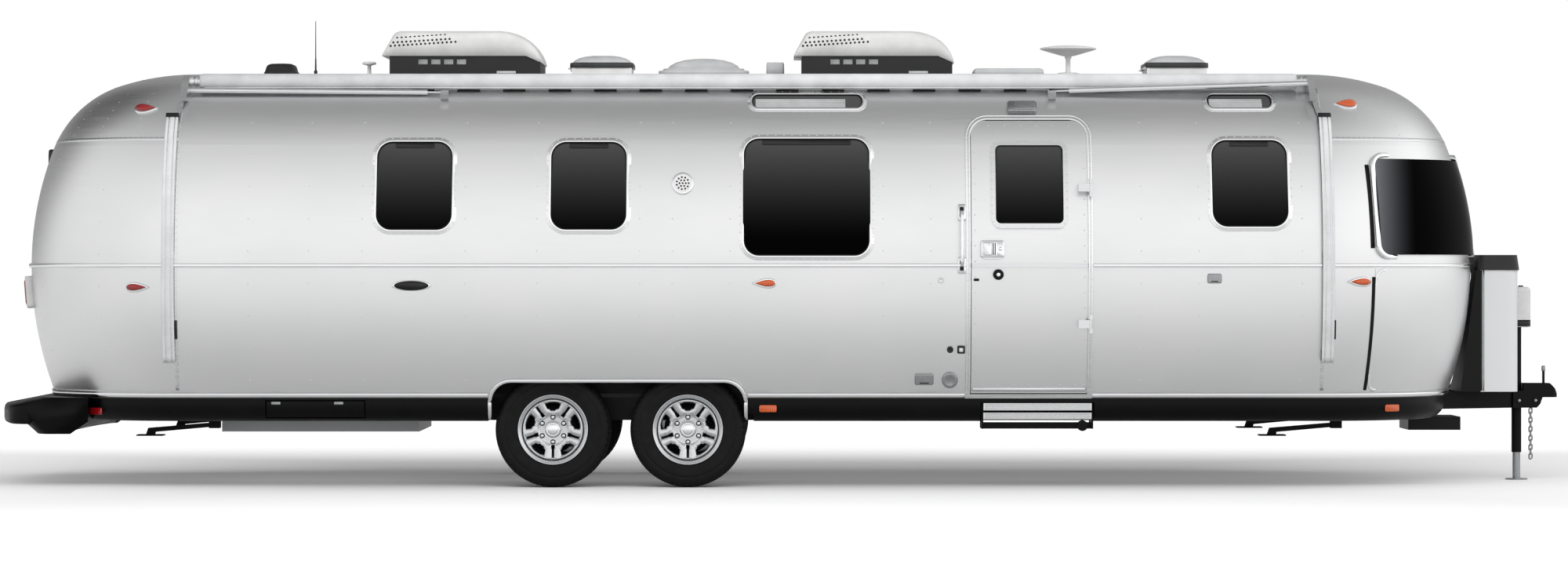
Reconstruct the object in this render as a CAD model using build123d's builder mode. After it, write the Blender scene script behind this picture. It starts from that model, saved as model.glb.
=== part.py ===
"""Riveted aluminium travel caravan with two axles, standing on its wheels and its tongue jack.

Frame: millimetres, +X forward to the coupler, +Y to the street side, +Z up, the ground at Z = 0.
The door is on the right-hand side, at -Y.
"""

import os
from math import asin, cos, degrees, radians, sin, sqrt

from build123d import *

os.makedirs("parts", exist_ok=True)

# Overall sizes
OVERALL_LENGTH = 10130.0
BODY_WIDTH = 2578.0
WALL = 45.0
SEAT_GAP = 0.3
RUNNING_GAP = 0.3
REAR_REACH = 187.0
TONGUE_REACH = 620.0

# Heights above the ground
BELLY_LOW = 418.0
FLOOR_LOW = 562.0
SILL = 586.0
BELT = 1400.0
DOME_SEAM = 2200.0
ROOF_SEAM = 2530.0

# Half profile of the body: lower side, upper side, shoulder and roof arcs, each tangent to the next
LOWER_RADIUS = 2305.0
UPPER_RADIUS = 2077.0
UPPER_SWEEP = 21.5
SHOULDER_RADIUS = 690.0
SHOULDER_END = 72.0
CORNER_RADIUS = 1060.0

# Windows and doorway, on the right wall
SMALL_WINDOW = 486.0
LARGE_WINDOW = 800.0
WINDOW_RADIUS = 100.0
OBLONG_RADIUS = 46.0
WINDOW_FRAME = 24.0
FRAME_PROUD = 9.0
PANE_DEPTH = 3.0
PANE_THICK = 8.0
DOOR_WIDTH = 746.0
DOOR_LOW = 592.0
DOOR_HIGH = 2322.0
DOOR_CORNER = 95.0
DOOR_FRAME = 27.0
DOOR_LIP = 6.0
DOOR_GAP = 6.0
DOOR_FREE_GAP = 10.0
DOOR_INNER_GAP = 36.0
HINGE_STANDOFF = 14.0
HINGE_OFFSET = 8.0
HINGE_HEIGHTS = (1035.0, 1890.0)

# Running gear
TYRE_RADIUS = 366.0
TYRE_WIDTH = 222.0
TYRE_SPACE = 120.0
TRACK_INSET = 304.0
HUB_BORE = 22.0
TYRE_ROOM = 45.0
ARCH_REAR_MARGIN = 16.0
ARCH_FRONT_MARGIN = -13.0
ARCH_DROP = 68.0
ARCH_RADIUS = 120.0
WELL_HEADROOM = 73.0
WELL_BACKROOM = 147.0
WELL_SIDEROOM = 14.0
WELL_SHEET = 4.0

# Chassis
RAIL_HEIGHT = 112.0
RAIL_WIDTH = 64.0
RAIL_INSET = 529.0
RAIL_RUN_IN = 1145.0
TONGUE_JOIN_BACK = 215.0
BALL_RADIUS = 29.5
JACK_BACK = 265.0
JACK_TUBE = 32.0
JACK_LEG = 25.0
HATCH_LENGTH = 616.0

# Lengths of what stands on the roof
POD_LENGTH = 220.0
WHIP_FOOT = 48.0
PIPE_CAP = 92.0
COOLER_LENGTH = 1038.0
VENT_LENGTH = 414.0
SKYLIGHT_LENGTH = 590.0
BOX_LENGTH = 118.0
PAD_LENGTH = 460.0
DISH_FOOT = 180.0

# Places worked out from the sizes above
HALF_WIDTH = BODY_WIDTH / 2
FLAT = HALF_WIDTH - CORNER_RADIUS
NOSE = OVERALL_LENGTH / 2
TAIL = -OVERALL_LENGTH / 2
BODY_REAR = TAIL + REAR_REACH
BODY_FRONT = NOSE - TONGUE_REACH
REAR_SEAM = BODY_REAR + CORNER_RADIUS
FRONT_SEAM = BODY_FRONT - CORNER_RADIUS
SIDE_LENGTH = FRONT_SEAM - REAR_SEAM
BODY_INSIDE = 600.0
WHEEL_TRACK = BODY_WIDTH - 2 * TRACK_INSET
AXLE_SPREAD = 2 * TYRE_RADIUS + TYRE_SPACE
ARCH_LENGTH = AXLE_SPREAD + 2 * TYRE_RADIUS + ARCH_REAR_MARGIN + ARCH_FRONT_MARGIN
ARCH_TOP = 2 * TYRE_RADIUS - ARCH_DROP
WELL_TOP = 2 * TYRE_RADIUS + WELL_HEADROOM
WELL_INNER = WHEEL_TRACK / 2 - WELL_BACKROOM
WELL_OUTER = WHEEL_TRACK / 2 + TYRE_WIDTH / 2 + WELL_SIDEROOM
RAIL_SPREAD = HALF_WIDTH - RAIL_INSET
RAIL_BACK = BODY_FRONT - RAIL_RUN_IN
TONGUE_JOIN = NOSE - TONGUE_JOIN_BACK
JACK_X = NOSE - JACK_BACK
RIGHT, LEFT = -1, 1
REAR, FRONT = -1, 1


def spread(last_gap, *row):
    """Middles of a row of pieces along the side, each given as (gap before it, length).

    The pieces keep their lengths, and the gaps, with one after the last piece, share out what the side leaves.
    """
    gaps = sum(gap for gap, length in row) + last_gap
    share = (SIDE_LENGTH - sum(length for gap, length in row)) / gaps
    middles = []
    edge = REAR_SEAM
    for gap, length in row:
        middles.append(edge + gap * share + length / 2)
        edge += gap * share + length
    return middles


rear_window, second_window, middle_window, door_middle, front_window = spread(
    216.0, (1253.0, SMALL_WINDOW), (609.0, SMALL_WINDOW), (726.0, LARGE_WINDOW), (624.0, DOOR_WIDTH),
    (771.0, SMALL_WINDOW))
hatch_middle, arch_middle = spread(3639.0, (556.0, HATCH_LENGTH), (805.0, ARCH_LENGTH))
(pod_x, whip_x, pipe_x, cooler_rear, vent_rear, skylight_x, box_x, cooler_front, pad_x, dish_x,
 vent_front) = spread(
    620.0, (416.0, POD_LENGTH), (89.0, WHIP_FOOT), (281.0, PIPE_CAP), (65.0, COOLER_LENGTH),
    (175.0, VENT_LENGTH), (161.0, SKYLIGHT_LENGTH), (113.0, BOX_LENGTH), (62.0, COOLER_LENGTH),
    (134.0, PAD_LENGTH), (76.0, DISH_FOOT), (399.0, VENT_LENGTH))
DOOR_REAR = door_middle - DOOR_WIDTH / 2
DOOR_FRONT = door_middle + DOOR_WIDTH / 2
ARCH_REAR = arch_middle - ARCH_LENGTH / 2
ARCH_FRONT = arch_middle + ARCH_LENGTH / 2
AXLE_REAR = ARCH_REAR + ARCH_REAR_MARGIN + TYRE_RADIUS
AXLE_FRONT = AXLE_REAR + AXLE_SPREAD
WELL_REAR = AXLE_REAR - TYRE_RADIUS - TYRE_ROOM
WELL_FRONT = AXLE_FRONT + TYRE_RADIUS + TYRE_ROOM
WELL_MIDDLE = (WELL_REAR + WELL_FRONT) / 2
WELL_LENGTH = WELL_FRONT - WELL_REAR


def profile_arcs(offset):
    """Centre, radius, first and last slope of each arc of the half profile, moved inwards by offset.

    A point of an arc at slope t is the centre plus the radius times (-cos t, sin t), in (inward, height).
    """
    upper = radians(UPPER_SWEEP)
    shoulder = radians(SHOULDER_END)
    shoulder_reach = UPPER_RADIUS - SHOULDER_RADIUS
    shoulder_centre = (UPPER_RADIUS - shoulder_reach * cos(upper), BELT + shoulder_reach * sin(upper))
    shoulder_inward = shoulder_centre[0] - SHOULDER_RADIUS * cos(shoulder)
    roof_radius = (CORNER_RADIUS - shoulder_inward) / cos(shoulder)
    roof_reach = roof_radius - SHOULDER_RADIUS
    roof_centre = (CORNER_RADIUS, shoulder_centre[1] - roof_reach * sin(shoulder))
    low_slope = -degrees(asin((BELT - BELLY_LOW) / (LOWER_RADIUS - WALL)))
    return (
        ((LOWER_RADIUS, BELT), LOWER_RADIUS - offset, low_slope, 0.0),
        ((UPPER_RADIUS, BELT), UPPER_RADIUS - offset, 0.0, UPPER_SWEEP),
        (shoulder_centre, SHOULDER_RADIUS - offset, UPPER_SWEEP, SHOULDER_END),
        (roof_centre, roof_radius - offset, SHOULDER_END, 90.0),
    )


def inward_at(height):
    """How far the outer skin lies inwards of the widest line, at a height up to the upper side's end."""
    radius = LOWER_RADIUS if height < BELT else UPPER_RADIUS
    return radius - sqrt(radius**2 - (height - BELT) ** 2)


CROWN = profile_arcs(0.0)[3][0][1] + profile_arcs(0.0)[3][1]


def profile_line(offset):
    """The arcs of the half profile at an offset, drawn in the active line block."""
    return [CenterArc(c, r, 180.0 - first, first - last) for c, r, first, last in profile_arcs(offset)]


def band_face(plane, outer, inner, low, high):
    """Face between two offsets of the half profile, cut off at two heights; outer is the smaller offset."""
    with BuildSketch(plane) as band:
        with BuildLine():
            outside = profile_line(outer)
            inside = profile_line(inner)
            Line(outside[-1] @ 1, inside[-1] @ 1)
            Line(outside[0] @ 0, inside[0] @ 0)
        make_face()
        with Locations((CORNER_RADIUS / 2, (low + high) / 2)):
            Rectangle(2 * CORNER_RADIUS, high - low, mode=Mode.INTERSECT)
    return band.sketch


def side_plane(side, x):
    """Cross plane at x whose first axis runs inwards from the widest line of one side."""
    return Plane(origin=(x, side * HALF_WIDTH, 0), x_dir=(0, -side, 0), z_dir=(-side, 0, 0))


def side_band(side, rear, front, outer, inner, low, high, mode=Mode.ADD):
    """Straight run of a profile band along one side."""
    section = band_face(side_plane(side, rear), outer, inner, low, high)
    extrude(section, amount=-side * (front - rear), mode=mode)


def corner_axis(end, side):
    """Upright axis that one corner of the body is turned about."""
    x = BODY_REAR + CORNER_RADIUS if end == REAR else BODY_FRONT - CORNER_RADIUS
    return Axis((x, side * FLAT, 0), (0, 0, 1))


def corner_plane(end, side, turn):
    """Upright plane through a corner's axis, turned from the end of the body towards its side."""
    axis = corner_axis(end, side)
    angle = radians(turn)
    out = Vector(end * cos(angle), side * sin(angle), 0)
    return Plane(origin=axis.position + out * CORNER_RADIUS, x_dir=-out, z_dir=(-out).cross(Vector(0, 0, 1)))


def corner_band(end, side, start, stop, outer, inner, low, high, mode=Mode.ADD):
    """Part of a profile band round one corner, between two turns measured from the end of the body."""
    face = band_face(corner_plane(end, side, start), outer, inner, low, high)
    revolve(face, axis=corner_axis(end, side), revolution_arc=end * side * (stop - start), mode=mode)


def middle_band(end, half_width, outer, inner, low, high, mode=Mode.ADD):
    """Straight run of a profile band across the middle of one end."""
    plane = corner_plane(end, LEFT, 0.0)
    face = band_face(Plane(plane.origin - Vector(0, FLAT - half_width, 0), plane.x_dir, plane.z_dir),
                     outer, inner, low, high)
    extrude(face, amount=end * -2 * half_width, mode=mode)


def end_band(end, outer, inner, low, high, mode=Mode.ADD):
    """A whole end of the body: both corners and the middle."""
    middle_band(end, FLAT, outer, inner, low, high, mode)
    for side in (RIGHT, LEFT):
        corner_band(end, side, 0.0, 90.0, outer, inner, low, high, mode)


def finish(block, name):
    """Label a finished piece and write its file."""
    block.part.label = name
    export_step(block.part, f"parts/{name}.step")


# Side windows, as middle along X, middle height, width and height of the opening
SIDE_WINDOWS = (
    (rear_window, 1902.0, SMALL_WINDOW, 565.0),
    (second_window, 1902.0, SMALL_WINDOW, 562.0),
    (middle_window, 1831.0, LARGE_WINDOW, 746.0),
    (front_window, 1917.0, SMALL_WINDOW, 555.0),
)
# Oblong windows in the shoulder, with the same columns
SHOULDER_WINDOWS = (
    (middle_window + 5.0, 2440.0, 712.0, 98.0),
    (front_window - 39.0, 2440.0, 420.0, 98.0),
)


def window_outlines(grow, mode=Mode.ADD):
    """Outlines of all windows of a side in the active sketch, grown all round."""
    for table, radius in ((SIDE_WINDOWS, WINDOW_RADIUS), (SHOULDER_WINDOWS, OBLONG_RADIUS)):
        for x, z, width, height in table:
            with Locations((x, z)):
                RectangleRounded(width + 2 * grow, height + 2 * grow, radius + grow, mode=mode)


def doorway_face(grow_rear, grow_front, grow_low, grow_high, corner):
    """Door outline with rounded upper corners, each edge moved out from the doorway by its own amount."""
    rear = DOOR_REAR - grow_rear
    front = DOOR_FRONT + grow_front
    low = DOOR_LOW - grow_low
    high = DOOR_HIGH + grow_high
    with BuildSketch(Plane.XZ) as outline:
        with Locations(((rear + front) / 2, (low + high) / 2)):
            Rectangle(front - rear, high - low)
        fillet(outline.vertices().group_by(Axis.Y)[-1], corner)
    return outline.sketch


def arch_face(grow):
    """Wheel opening with rounded upper corners, open at the sill."""
    with BuildSketch(Plane.XZ) as outline:
        with Locations(((ARCH_REAR + ARCH_FRONT) / 2, (BELLY_LOW + ARCH_TOP + grow) / 2)):
            Rectangle(ARCH_FRONT - ARCH_REAR + 2 * grow, ARCH_TOP + grow - BELLY_LOW)
        fillet(outline.vertices().group_by(Axis.Y)[-1], ARCH_RADIUS + grow)
    return outline.sketch


# Side walls
with BuildPart() as wall_right:
    side_band(RIGHT, REAR_SEAM, FRONT_SEAM, 0.0, WALL, SILL, ROOF_SEAM)
    with BuildSketch(Plane.XZ):
        window_outlines(0.0)
    extrude(amount=BODY_WIDTH, mode=Mode.SUBTRACT)
    extrude(doorway_face(0.0, 0.0, 0.0, 0.0, DOOR_CORNER), amount=BODY_WIDTH, mode=Mode.SUBTRACT)
    extrude(arch_face(0.0), amount=BODY_WIDTH, mode=Mode.SUBTRACT)
finish(wall_right, "wall_right")

with BuildPart() as wall_left:
    side_band(LEFT, REAR_SEAM, FRONT_SEAM, 0.0, WALL, SILL, ROOF_SEAM)
    with BuildSketch(Plane.XZ):
        window_outlines(0.0)
    extrude(amount=-BODY_WIDTH, mode=Mode.SUBTRACT)
    extrude(arch_face(0.0), amount=-BODY_WIDTH, mode=Mode.SUBTRACT)
finish(wall_left, "wall_left")

# Roof between the side walls and the domed ends
with BuildPart() as roof_skin:
    for side in (RIGHT, LEFT):
        side_band(side, REAR_SEAM, FRONT_SEAM, 0.0, WALL, ROOF_SEAM, CROWN)
    with Locations(((REAR_SEAM + FRONT_SEAM) / 2, 0, CROWN - WALL / 2)):
        Box(SIDE_LENGTH, 2 * FLAT, WALL)
finish(roof_skin, "roof_skin")

# Domed ends, each a lower and an upper panel
REAR_WINDOW_WIDTH = 860.0
REAR_WINDOW_HEIGHT = 500.0
REAR_WINDOW_Z = 1830.0
GUARD_LOW = 1440.0
GUARD_HIGH = 2105.0
GUARD_START = 6.0
GUARD_STOP = 72.0
GUARD_FRAME_TURN = 1.6
GUARD_FRAME = 30.0
FRONT_WINDOW_INSET = 45.0
FRONT_WINDOW_TURN = 3.0

with BuildPart() as cap_rear_lower:
    end_band(REAR, 0.0, WALL, SILL, DOME_SEAM)
    with BuildSketch(Plane.YZ):
        with Locations((0, REAR_WINDOW_Z)):
            RectangleRounded(REAR_WINDOW_WIDTH, REAR_WINDOW_HEIGHT, WINDOW_RADIUS)
    extrude(amount=-OVERALL_LENGTH, mode=Mode.SUBTRACT)
finish(cap_rear_lower, "cap_rear_lower")

with BuildPart() as cap_rear_upper:
    end_band(REAR, 0.0, WALL, DOME_SEAM, CROWN)
finish(cap_rear_upper, "cap_rear_upper")

with BuildPart() as cap_front_lower:
    end_band(FRONT, 0.0, WALL, SILL, DOME_SEAM)
    for side in (RIGHT, LEFT):
        corner_band(FRONT, side, GUARD_START + FRONT_WINDOW_TURN, GUARD_STOP - FRONT_WINDOW_TURN, -WALL,
                    2 * WALL, GUARD_LOW + FRONT_WINDOW_INSET, GUARD_HIGH - FRONT_WINDOW_INSET, Mode.SUBTRACT)
finish(cap_front_lower, "cap_front_lower")

with BuildPart() as cap_front_upper:
    end_band(FRONT, 0.0, WALL, DOME_SEAM, CROWN)
finish(cap_front_upper, "cap_front_upper")

# Floor and the black wrap under it, both on the outline of the sill
SILL_INWARD = inward_at(FLOOR_LOW) + 2.0
BELLY_EDGE = 110.0
SLOT_GAP = 1.0
RAIL_TOP = SILL - 2.0


def under_outline(inward):
    """Plan of the body's underside, moved inwards from the widest line."""
    with BuildSketch(Plane.XY) as outline:
        with Locations(((BODY_REAR + BODY_FRONT) / 2, 0)):
            RectangleRounded(BODY_FRONT - BODY_REAR - 2 * inward, BODY_WIDTH - 2 * inward,
                             CORNER_RADIUS - inward)
    return outline.sketch


def rail_plane(side):
    """Upright plane across one tongue rail at its rear end, facing forward along the rail."""
    along = Vector(TONGUE_JOIN - RAIL_BACK, -side * RAIL_SPREAD, 0).normalized()
    return Plane(origin=(RAIL_BACK, side * RAIL_SPREAD, RAIL_TOP - RAIL_HEIGHT / 2),
                 x_dir=along.cross(Vector(0, 0, 1)), z_dir=along)


RAIL_LENGTH = sqrt((TONGUE_JOIN - RAIL_BACK) ** 2 + RAIL_SPREAD**2)


def cut_wheel_wells():
    """Clear the tyres' room through the active part, and the narrower arch through its outer edge."""
    for side in (RIGHT, LEFT):
        with Locations((WELL_MIDDLE, side * (WELL_INNER + WELL_OUTER) / 2, SILL)):
            Box(WELL_LENGTH + 2 * WELL_SHEET, WELL_OUTER - WELL_INNER, 2 * SILL, mode=Mode.SUBTRACT)
        with Locations(((ARCH_REAR + ARCH_FRONT) / 2, side * HALF_WIDTH, SILL)):
            Box(ARCH_FRONT - ARCH_REAR, 2 * (HALF_WIDTH - WELL_OUTER) + 1, 2 * SILL, mode=Mode.SUBTRACT)


def cut_rail_slots():
    """Clear the two tongue rails through the active part, with a slack all round."""
    for side in (RIGHT, LEFT):
        with BuildSketch(rail_plane(side).offset(-SLOT_GAP)) as slot:
            Rectangle(RAIL_WIDTH + 2 * SLOT_GAP, RAIL_HEIGHT + 2 * SLOT_GAP)
        extrude(slot.sketch, amount=RAIL_LENGTH, mode=Mode.SUBTRACT)


with BuildPart() as floor:
    extrude(under_outline(SILL_INWARD).moved(Location((0, 0, FLOOR_LOW))), amount=SILL - FLOOR_LOW)
    cut_wheel_wells()
    cut_rail_slots()
finish(floor, "floor")

HATCH_LOW = 444.0
HATCH_HIGH = 546.0
HATCH_INSET = 215.0
HATCH_DEPTH = 330.0
HATCH_GAP = 7.0
HATCH_PIN = 3.0
HATCH_PIN_LENGTH = 40.0
HATCH_PIN_RISE = 6.0
HATCH_PIN_IN = 16.0
HATCH_BACK = HALF_WIDTH - HATCH_INSET
HATCH_HEIGHT = HATCH_HIGH - HATCH_LOW
HATCH_PLACE = (hatch_middle, -HATCH_BACK, (HATCH_LOW + HATCH_HIGH) / 2)
STEP_REAR = DOOR_REAR + 79.0
STEP_FRONT = DOOR_FRONT + 38.0
STEP_FACE = HALF_WIDTH - 149.0
STEP_BACK = HALF_WIDTH - 419.0
STEP_CEILING = 540.0
STEP_GAP = 6.0

with BuildPart() as belly_block:
    extrude(under_outline(SILL_INWARD).moved(Location((0, 0, BELLY_LOW))), amount=FLOOR_LOW - BELLY_LOW)
    fillet(belly_block.edges().group_by(Axis.Z)[0], BELLY_EDGE)


def hatch_pins(radius, length, mode=Mode.ADD):
    """A pair of pins along the hatch's lower edge, running in from the two ends of its opening."""
    for end in (REAR, FRONT):
        start = HATCH_PLACE[0] + end * (HATCH_LENGTH / 2 + HATCH_GAP + HATCH_PIN)
        place = (start, -HATCH_BACK - HATCH_PIN_IN, HATCH_LOW + HATCH_PIN_RISE)
        with BuildSketch(Plane(origin=place, z_dir=(-end, 0, 0))) as pin:
            Circle(radius)
        extrude(pin.sketch, amount=HATCH_GAP + HATCH_PIN + length, mode=mode)


with BuildPart() as belly_pan:
    add(belly_block.part)
    cut_wheel_wells()
    cut_rail_slots()
    with Locations(((STEP_REAR + STEP_FRONT) / 2, -STEP_BACK + STEP_GAP, 0)):
        Box(STEP_FRONT - STEP_REAR + 2 * STEP_GAP, HALF_WIDTH, STEP_CEILING,
            align=(Align.CENTER, Align.MAX, Align.MIN), mode=Mode.SUBTRACT)
    with Locations((HATCH_PLACE[0], HATCH_DEPTH - HATCH_BACK, HATCH_PLACE[2])):
        Box(HATCH_LENGTH + 2 * HATCH_GAP, HALF_WIDTH, HATCH_HEIGHT + 2 * HATCH_GAP,
            align=(Align.CENTER, Align.MAX, Align.CENTER), mode=Mode.SUBTRACT)
    hatch_pins(HATCH_PIN, HATCH_PIN_LENGTH)
finish(belly_pan, "belly_pan")

# Hatch in the right side of the wrap, hinged along its lower edge on two pins
with BuildPart() as belly_hatch:
    add(belly_block.part)
    with Locations(HATCH_PLACE):
        Box(HATCH_LENGTH, HALF_WIDTH, HATCH_HEIGHT, align=(Align.CENTER, Align.MAX, Align.CENTER),
            mode=Mode.INTERSECT)
    hatch_pins(HATCH_PIN + RUNNING_GAP, HATCH_PIN_LENGTH + 1, Mode.SUBTRACT)
finish(belly_hatch, "belly_hatch")

# Wheel wells: sheet boxes over the tyres, trimmed to the inside of the wall
with BuildPart() as wheel_wells:
    for side in (RIGHT, LEFT):
        depth = HALF_WIDTH - WELL_INNER
        with Locations((WELL_MIDDLE, side * (WELL_INNER + depth / 2), (SILL + WELL_TOP) / 2)):
            Box(WELL_LENGTH + 2 * WELL_SHEET, depth, WELL_TOP - SILL)
        inner_depth = depth - WELL_SHEET
        inner_middle = (SILL + WELL_TOP) / 2 - WELL_SHEET
        with Locations((WELL_MIDDLE, side * (HALF_WIDTH - inner_depth / 2), inner_middle)):
            Box(WELL_LENGTH, inner_depth, WELL_TOP - SILL, mode=Mode.SUBTRACT)
    for side in (RIGHT, LEFT):
        side_band(side, REAR_SEAM, FRONT_SEAM, -HALF_WIDTH / 4, WALL + SEAT_GAP, FLOOR_LOW - WALL, BELT,
                  Mode.SUBTRACT)
finish(wheel_wells, "wheel_wells")

# Rub rails: one round the belt and one round the sill, broken at the door and the wheel arches
BELT_RAIL_LOW = 1388.0
BELT_RAIL_HIGH = 1416.0
RAIL_PROUD = 12.0
SILL_RAIL_LOW = 570.0
SILL_RAIL_HIGH = 605.0
ARCH_TRIM = 28.0


def rail_round(low, high):
    """A rub rail all round the body, standing on the skin."""
    for side in (RIGHT, LEFT):
        side_band(side, REAR_SEAM, FRONT_SEAM, -RAIL_PROUD, -SEAT_GAP, low, high)
    for end in (REAR, FRONT):
        end_band(end, -RAIL_PROUD, -SEAT_GAP, low, high)


with BuildPart() as belt_rail:
    rail_round(BELT_RAIL_LOW, BELT_RAIL_HIGH)
    extrude(doorway_face(DOOR_FRAME, DOOR_FRAME, DOOR_FRAME, DOOR_FRAME, DOOR_CORNER + DOOR_FRAME),
            amount=BODY_WIDTH, mode=Mode.SUBTRACT)
finish(belt_rail, "belt_rail")

with BuildPart() as arch_trim:
    for side in (RIGHT, LEFT):
        side_band(side, REAR_SEAM, FRONT_SEAM, -RAIL_PROUD, -SEAT_GAP, SILL_RAIL_LOW, BELT_RAIL_LOW)
    trim_face = arch_face(ARCH_TRIM).moved(Location((0, BODY_WIDTH, 0)))
    extrude(trim_face, amount=2 * BODY_WIDTH, mode=Mode.INTERSECT)
    extrude(arch_face(0.0), amount=BODY_WIDTH, both=True, mode=Mode.SUBTRACT)
finish(arch_trim, "arch_trim")

with BuildPart() as lower_rail:
    rail_round(SILL_RAIL_LOW, SILL_RAIL_HIGH)
    extrude(arch_face(ARCH_TRIM), amount=BODY_WIDTH, both=True, mode=Mode.SUBTRACT)
    extrude(doorway_face(DOOR_FRAME, DOOR_FRAME, DOOR_FRAME, DOOR_FRAME, DOOR_CORNER + DOOR_FRAME),
            amount=BODY_WIDTH, mode=Mode.SUBTRACT)
    with Locations((BODY_FRONT, 0, SILL_RAIL_LOW)):
        Box(2 * CORNER_RADIUS, 2 * RAIL_SPREAD, 2 * (RAIL_TOP + SLOT_GAP - SILL_RAIL_LOW), mode=Mode.SUBTRACT)
finish(lower_rail, "lower_rail")

# Window frames stand on the skin round each opening, and the panes sit just inside it
FRAME_LAP = 6.0
PANE_GAP = 0.5

with BuildPart() as window_frames:
    for side in (RIGHT, LEFT):
        side_band(side, REAR_SEAM, FRONT_SEAM, -FRAME_PROUD, -SEAT_GAP, BELT_RAIL_HIGH, ROOF_SEAM)
    with BuildSketch(Plane.XZ.offset(-BODY_WIDTH)):
        window_outlines(WINDOW_FRAME)
        window_outlines(-FRAME_LAP, Mode.SUBTRACT)
    extrude(amount=2 * BODY_WIDTH, mode=Mode.INTERSECT)
finish(window_frames, "window_frames")

with BuildPart() as rear_pane:
    end_band(REAR, PANE_DEPTH, PANE_DEPTH + PANE_THICK, BELT_RAIL_HIGH, DOME_SEAM)
    with BuildSketch(Plane.YZ.offset(TAIL)):
        with Locations((0, REAR_WINDOW_Z)):
            RectangleRounded(REAR_WINDOW_WIDTH - 2 * PANE_GAP, REAR_WINDOW_HEIGHT - 2 * PANE_GAP,
                             WINDOW_RADIUS - PANE_GAP)
    extrude(amount=OVERALL_LENGTH, mode=Mode.INTERSECT)

PANE_TURN = 0.05
with BuildPart() as window_panes:
    for side in (RIGHT, LEFT):
        side_band(side, REAR_SEAM, FRONT_SEAM, PANE_DEPTH, PANE_DEPTH + PANE_THICK, BELT_RAIL_HIGH, ROOF_SEAM)
    with BuildSketch(Plane.XZ.offset(-BODY_WIDTH)):
        window_outlines(-PANE_GAP)
    extrude(amount=2 * BODY_WIDTH, mode=Mode.INTERSECT)
    for side in (RIGHT, LEFT):
        corner_band(FRONT, side, GUARD_START + FRONT_WINDOW_TURN + PANE_TURN,
                    GUARD_STOP - FRONT_WINDOW_TURN - PANE_TURN, PANE_DEPTH, PANE_DEPTH + PANE_THICK,
                    GUARD_LOW + FRONT_WINDOW_INSET + PANE_GAP, GUARD_HIGH - FRONT_WINDOW_INSET - PANE_GAP)
    add(rear_pane.part)
finish(window_panes, "window_panes")

# Stone guards over the front corner windows, and plain guards on the lower corners
GUARD_PROUD = 32.0
GUARD_PANE_OUT = 28.0
ROCK_PROUD = 5.0
ROCK_MARGIN = 8.0

with BuildPart() as guard_frames:
    for side in (RIGHT, LEFT):
        corner_band(FRONT, side, GUARD_START, GUARD_STOP, -GUARD_PROUD, -SEAT_GAP, GUARD_LOW, GUARD_HIGH)
        corner_band(FRONT, side, GUARD_START + GUARD_FRAME_TURN, GUARD_STOP - GUARD_FRAME_TURN,
                    -2 * GUARD_PROUD, GUARD_PROUD, GUARD_LOW + GUARD_FRAME, GUARD_HIGH - GUARD_FRAME, Mode.SUBTRACT)
finish(guard_frames, "guard_frames")

with BuildPart() as guard_panes:
    for side in (RIGHT, LEFT):
        corner_band(FRONT, side, GUARD_START + GUARD_FRAME_TURN + PANE_TURN,
                    GUARD_STOP - GUARD_FRAME_TURN - PANE_TURN, -GUARD_PANE_OUT, PANE_THICK - GUARD_PANE_OUT,
                    GUARD_LOW + GUARD_FRAME + PANE_GAP, GUARD_HIGH - GUARD_FRAME - PANE_GAP)
finish(guard_panes, "guard_panes")

with BuildPart() as rock_guards:
    for side in (RIGHT, LEFT):
        corner_band(FRONT, side, GUARD_START, GUARD_STOP, -ROCK_PROUD, -SEAT_GAP,
                    SILL_RAIL_HIGH + ROCK_MARGIN, BELT_RAIL_LOW - ROCK_MARGIN)
finish(rock_guards, "rock_guards")

# Entry door, hinged on its front edge on two stand-off hinges
HINGE_X = DOOR_FRONT + HINGE_OFFSET
HINGE_Y = -(HALF_WIDTH + HINGE_STANDOFF)
PIN_RADIUS = 5.0
KNUCKLE_RADIUS = 9.0
KNUCKLE_HALF = 25.0
EAR_START = 27.0
EAR_STOP = 57.0
EAR_LENGTH = 20.0
STRAP_LENGTH = 75.0
STRAP_FOOT = 50.0
DOOR_WINDOW = (door_middle + 2.0, 1912.0, 437.0, 506.0)
DOOR_WINDOW_RADIUS = 40.0

with BuildPart() as door_frame:
    side_band(RIGHT, REAR_SEAM, FRONT_SEAM, -FRAME_PROUD, -SEAT_GAP, BELLY_LOW + WALL, ROOF_SEAM)
    extrude(doorway_face(DOOR_FRAME, DOOR_FRAME, DOOR_FRAME, DOOR_FRAME, DOOR_CORNER + DOOR_FRAME),
            amount=BODY_WIDTH, mode=Mode.INTERSECT)
    extrude(doorway_face(0.0, 0.0, 0.0, 0.0, DOOR_CORNER), amount=BODY_WIDTH, mode=Mode.SUBTRACT)
    for height in HINGE_HEIGHTS:
        reach = HALF_WIDTH + HINGE_STANDOFF + KNUCKLE_RADIUS
        for ear in (height - EAR_STOP, height + EAR_START):
            with Locations((DOOR_FRONT + 1, -reach, ear)):
                Box(EAR_LENGTH, BODY_INSIDE / 2, EAR_STOP - EAR_START, align=(Align.MIN, Align.MIN, Align.MIN))
    side_band(RIGHT, REAR_SEAM, FRONT_SEAM, -SEAT_GAP, BODY_INSIDE, BELLY_LOW + WALL, ROOF_SEAM, Mode.SUBTRACT)
    for height in HINGE_HEIGHTS:
        with Locations((HINGE_X, HINGE_Y, height)):
            Cylinder(PIN_RADIUS, 2 * EAR_STOP)
finish(door_frame, "door_frame")

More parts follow.
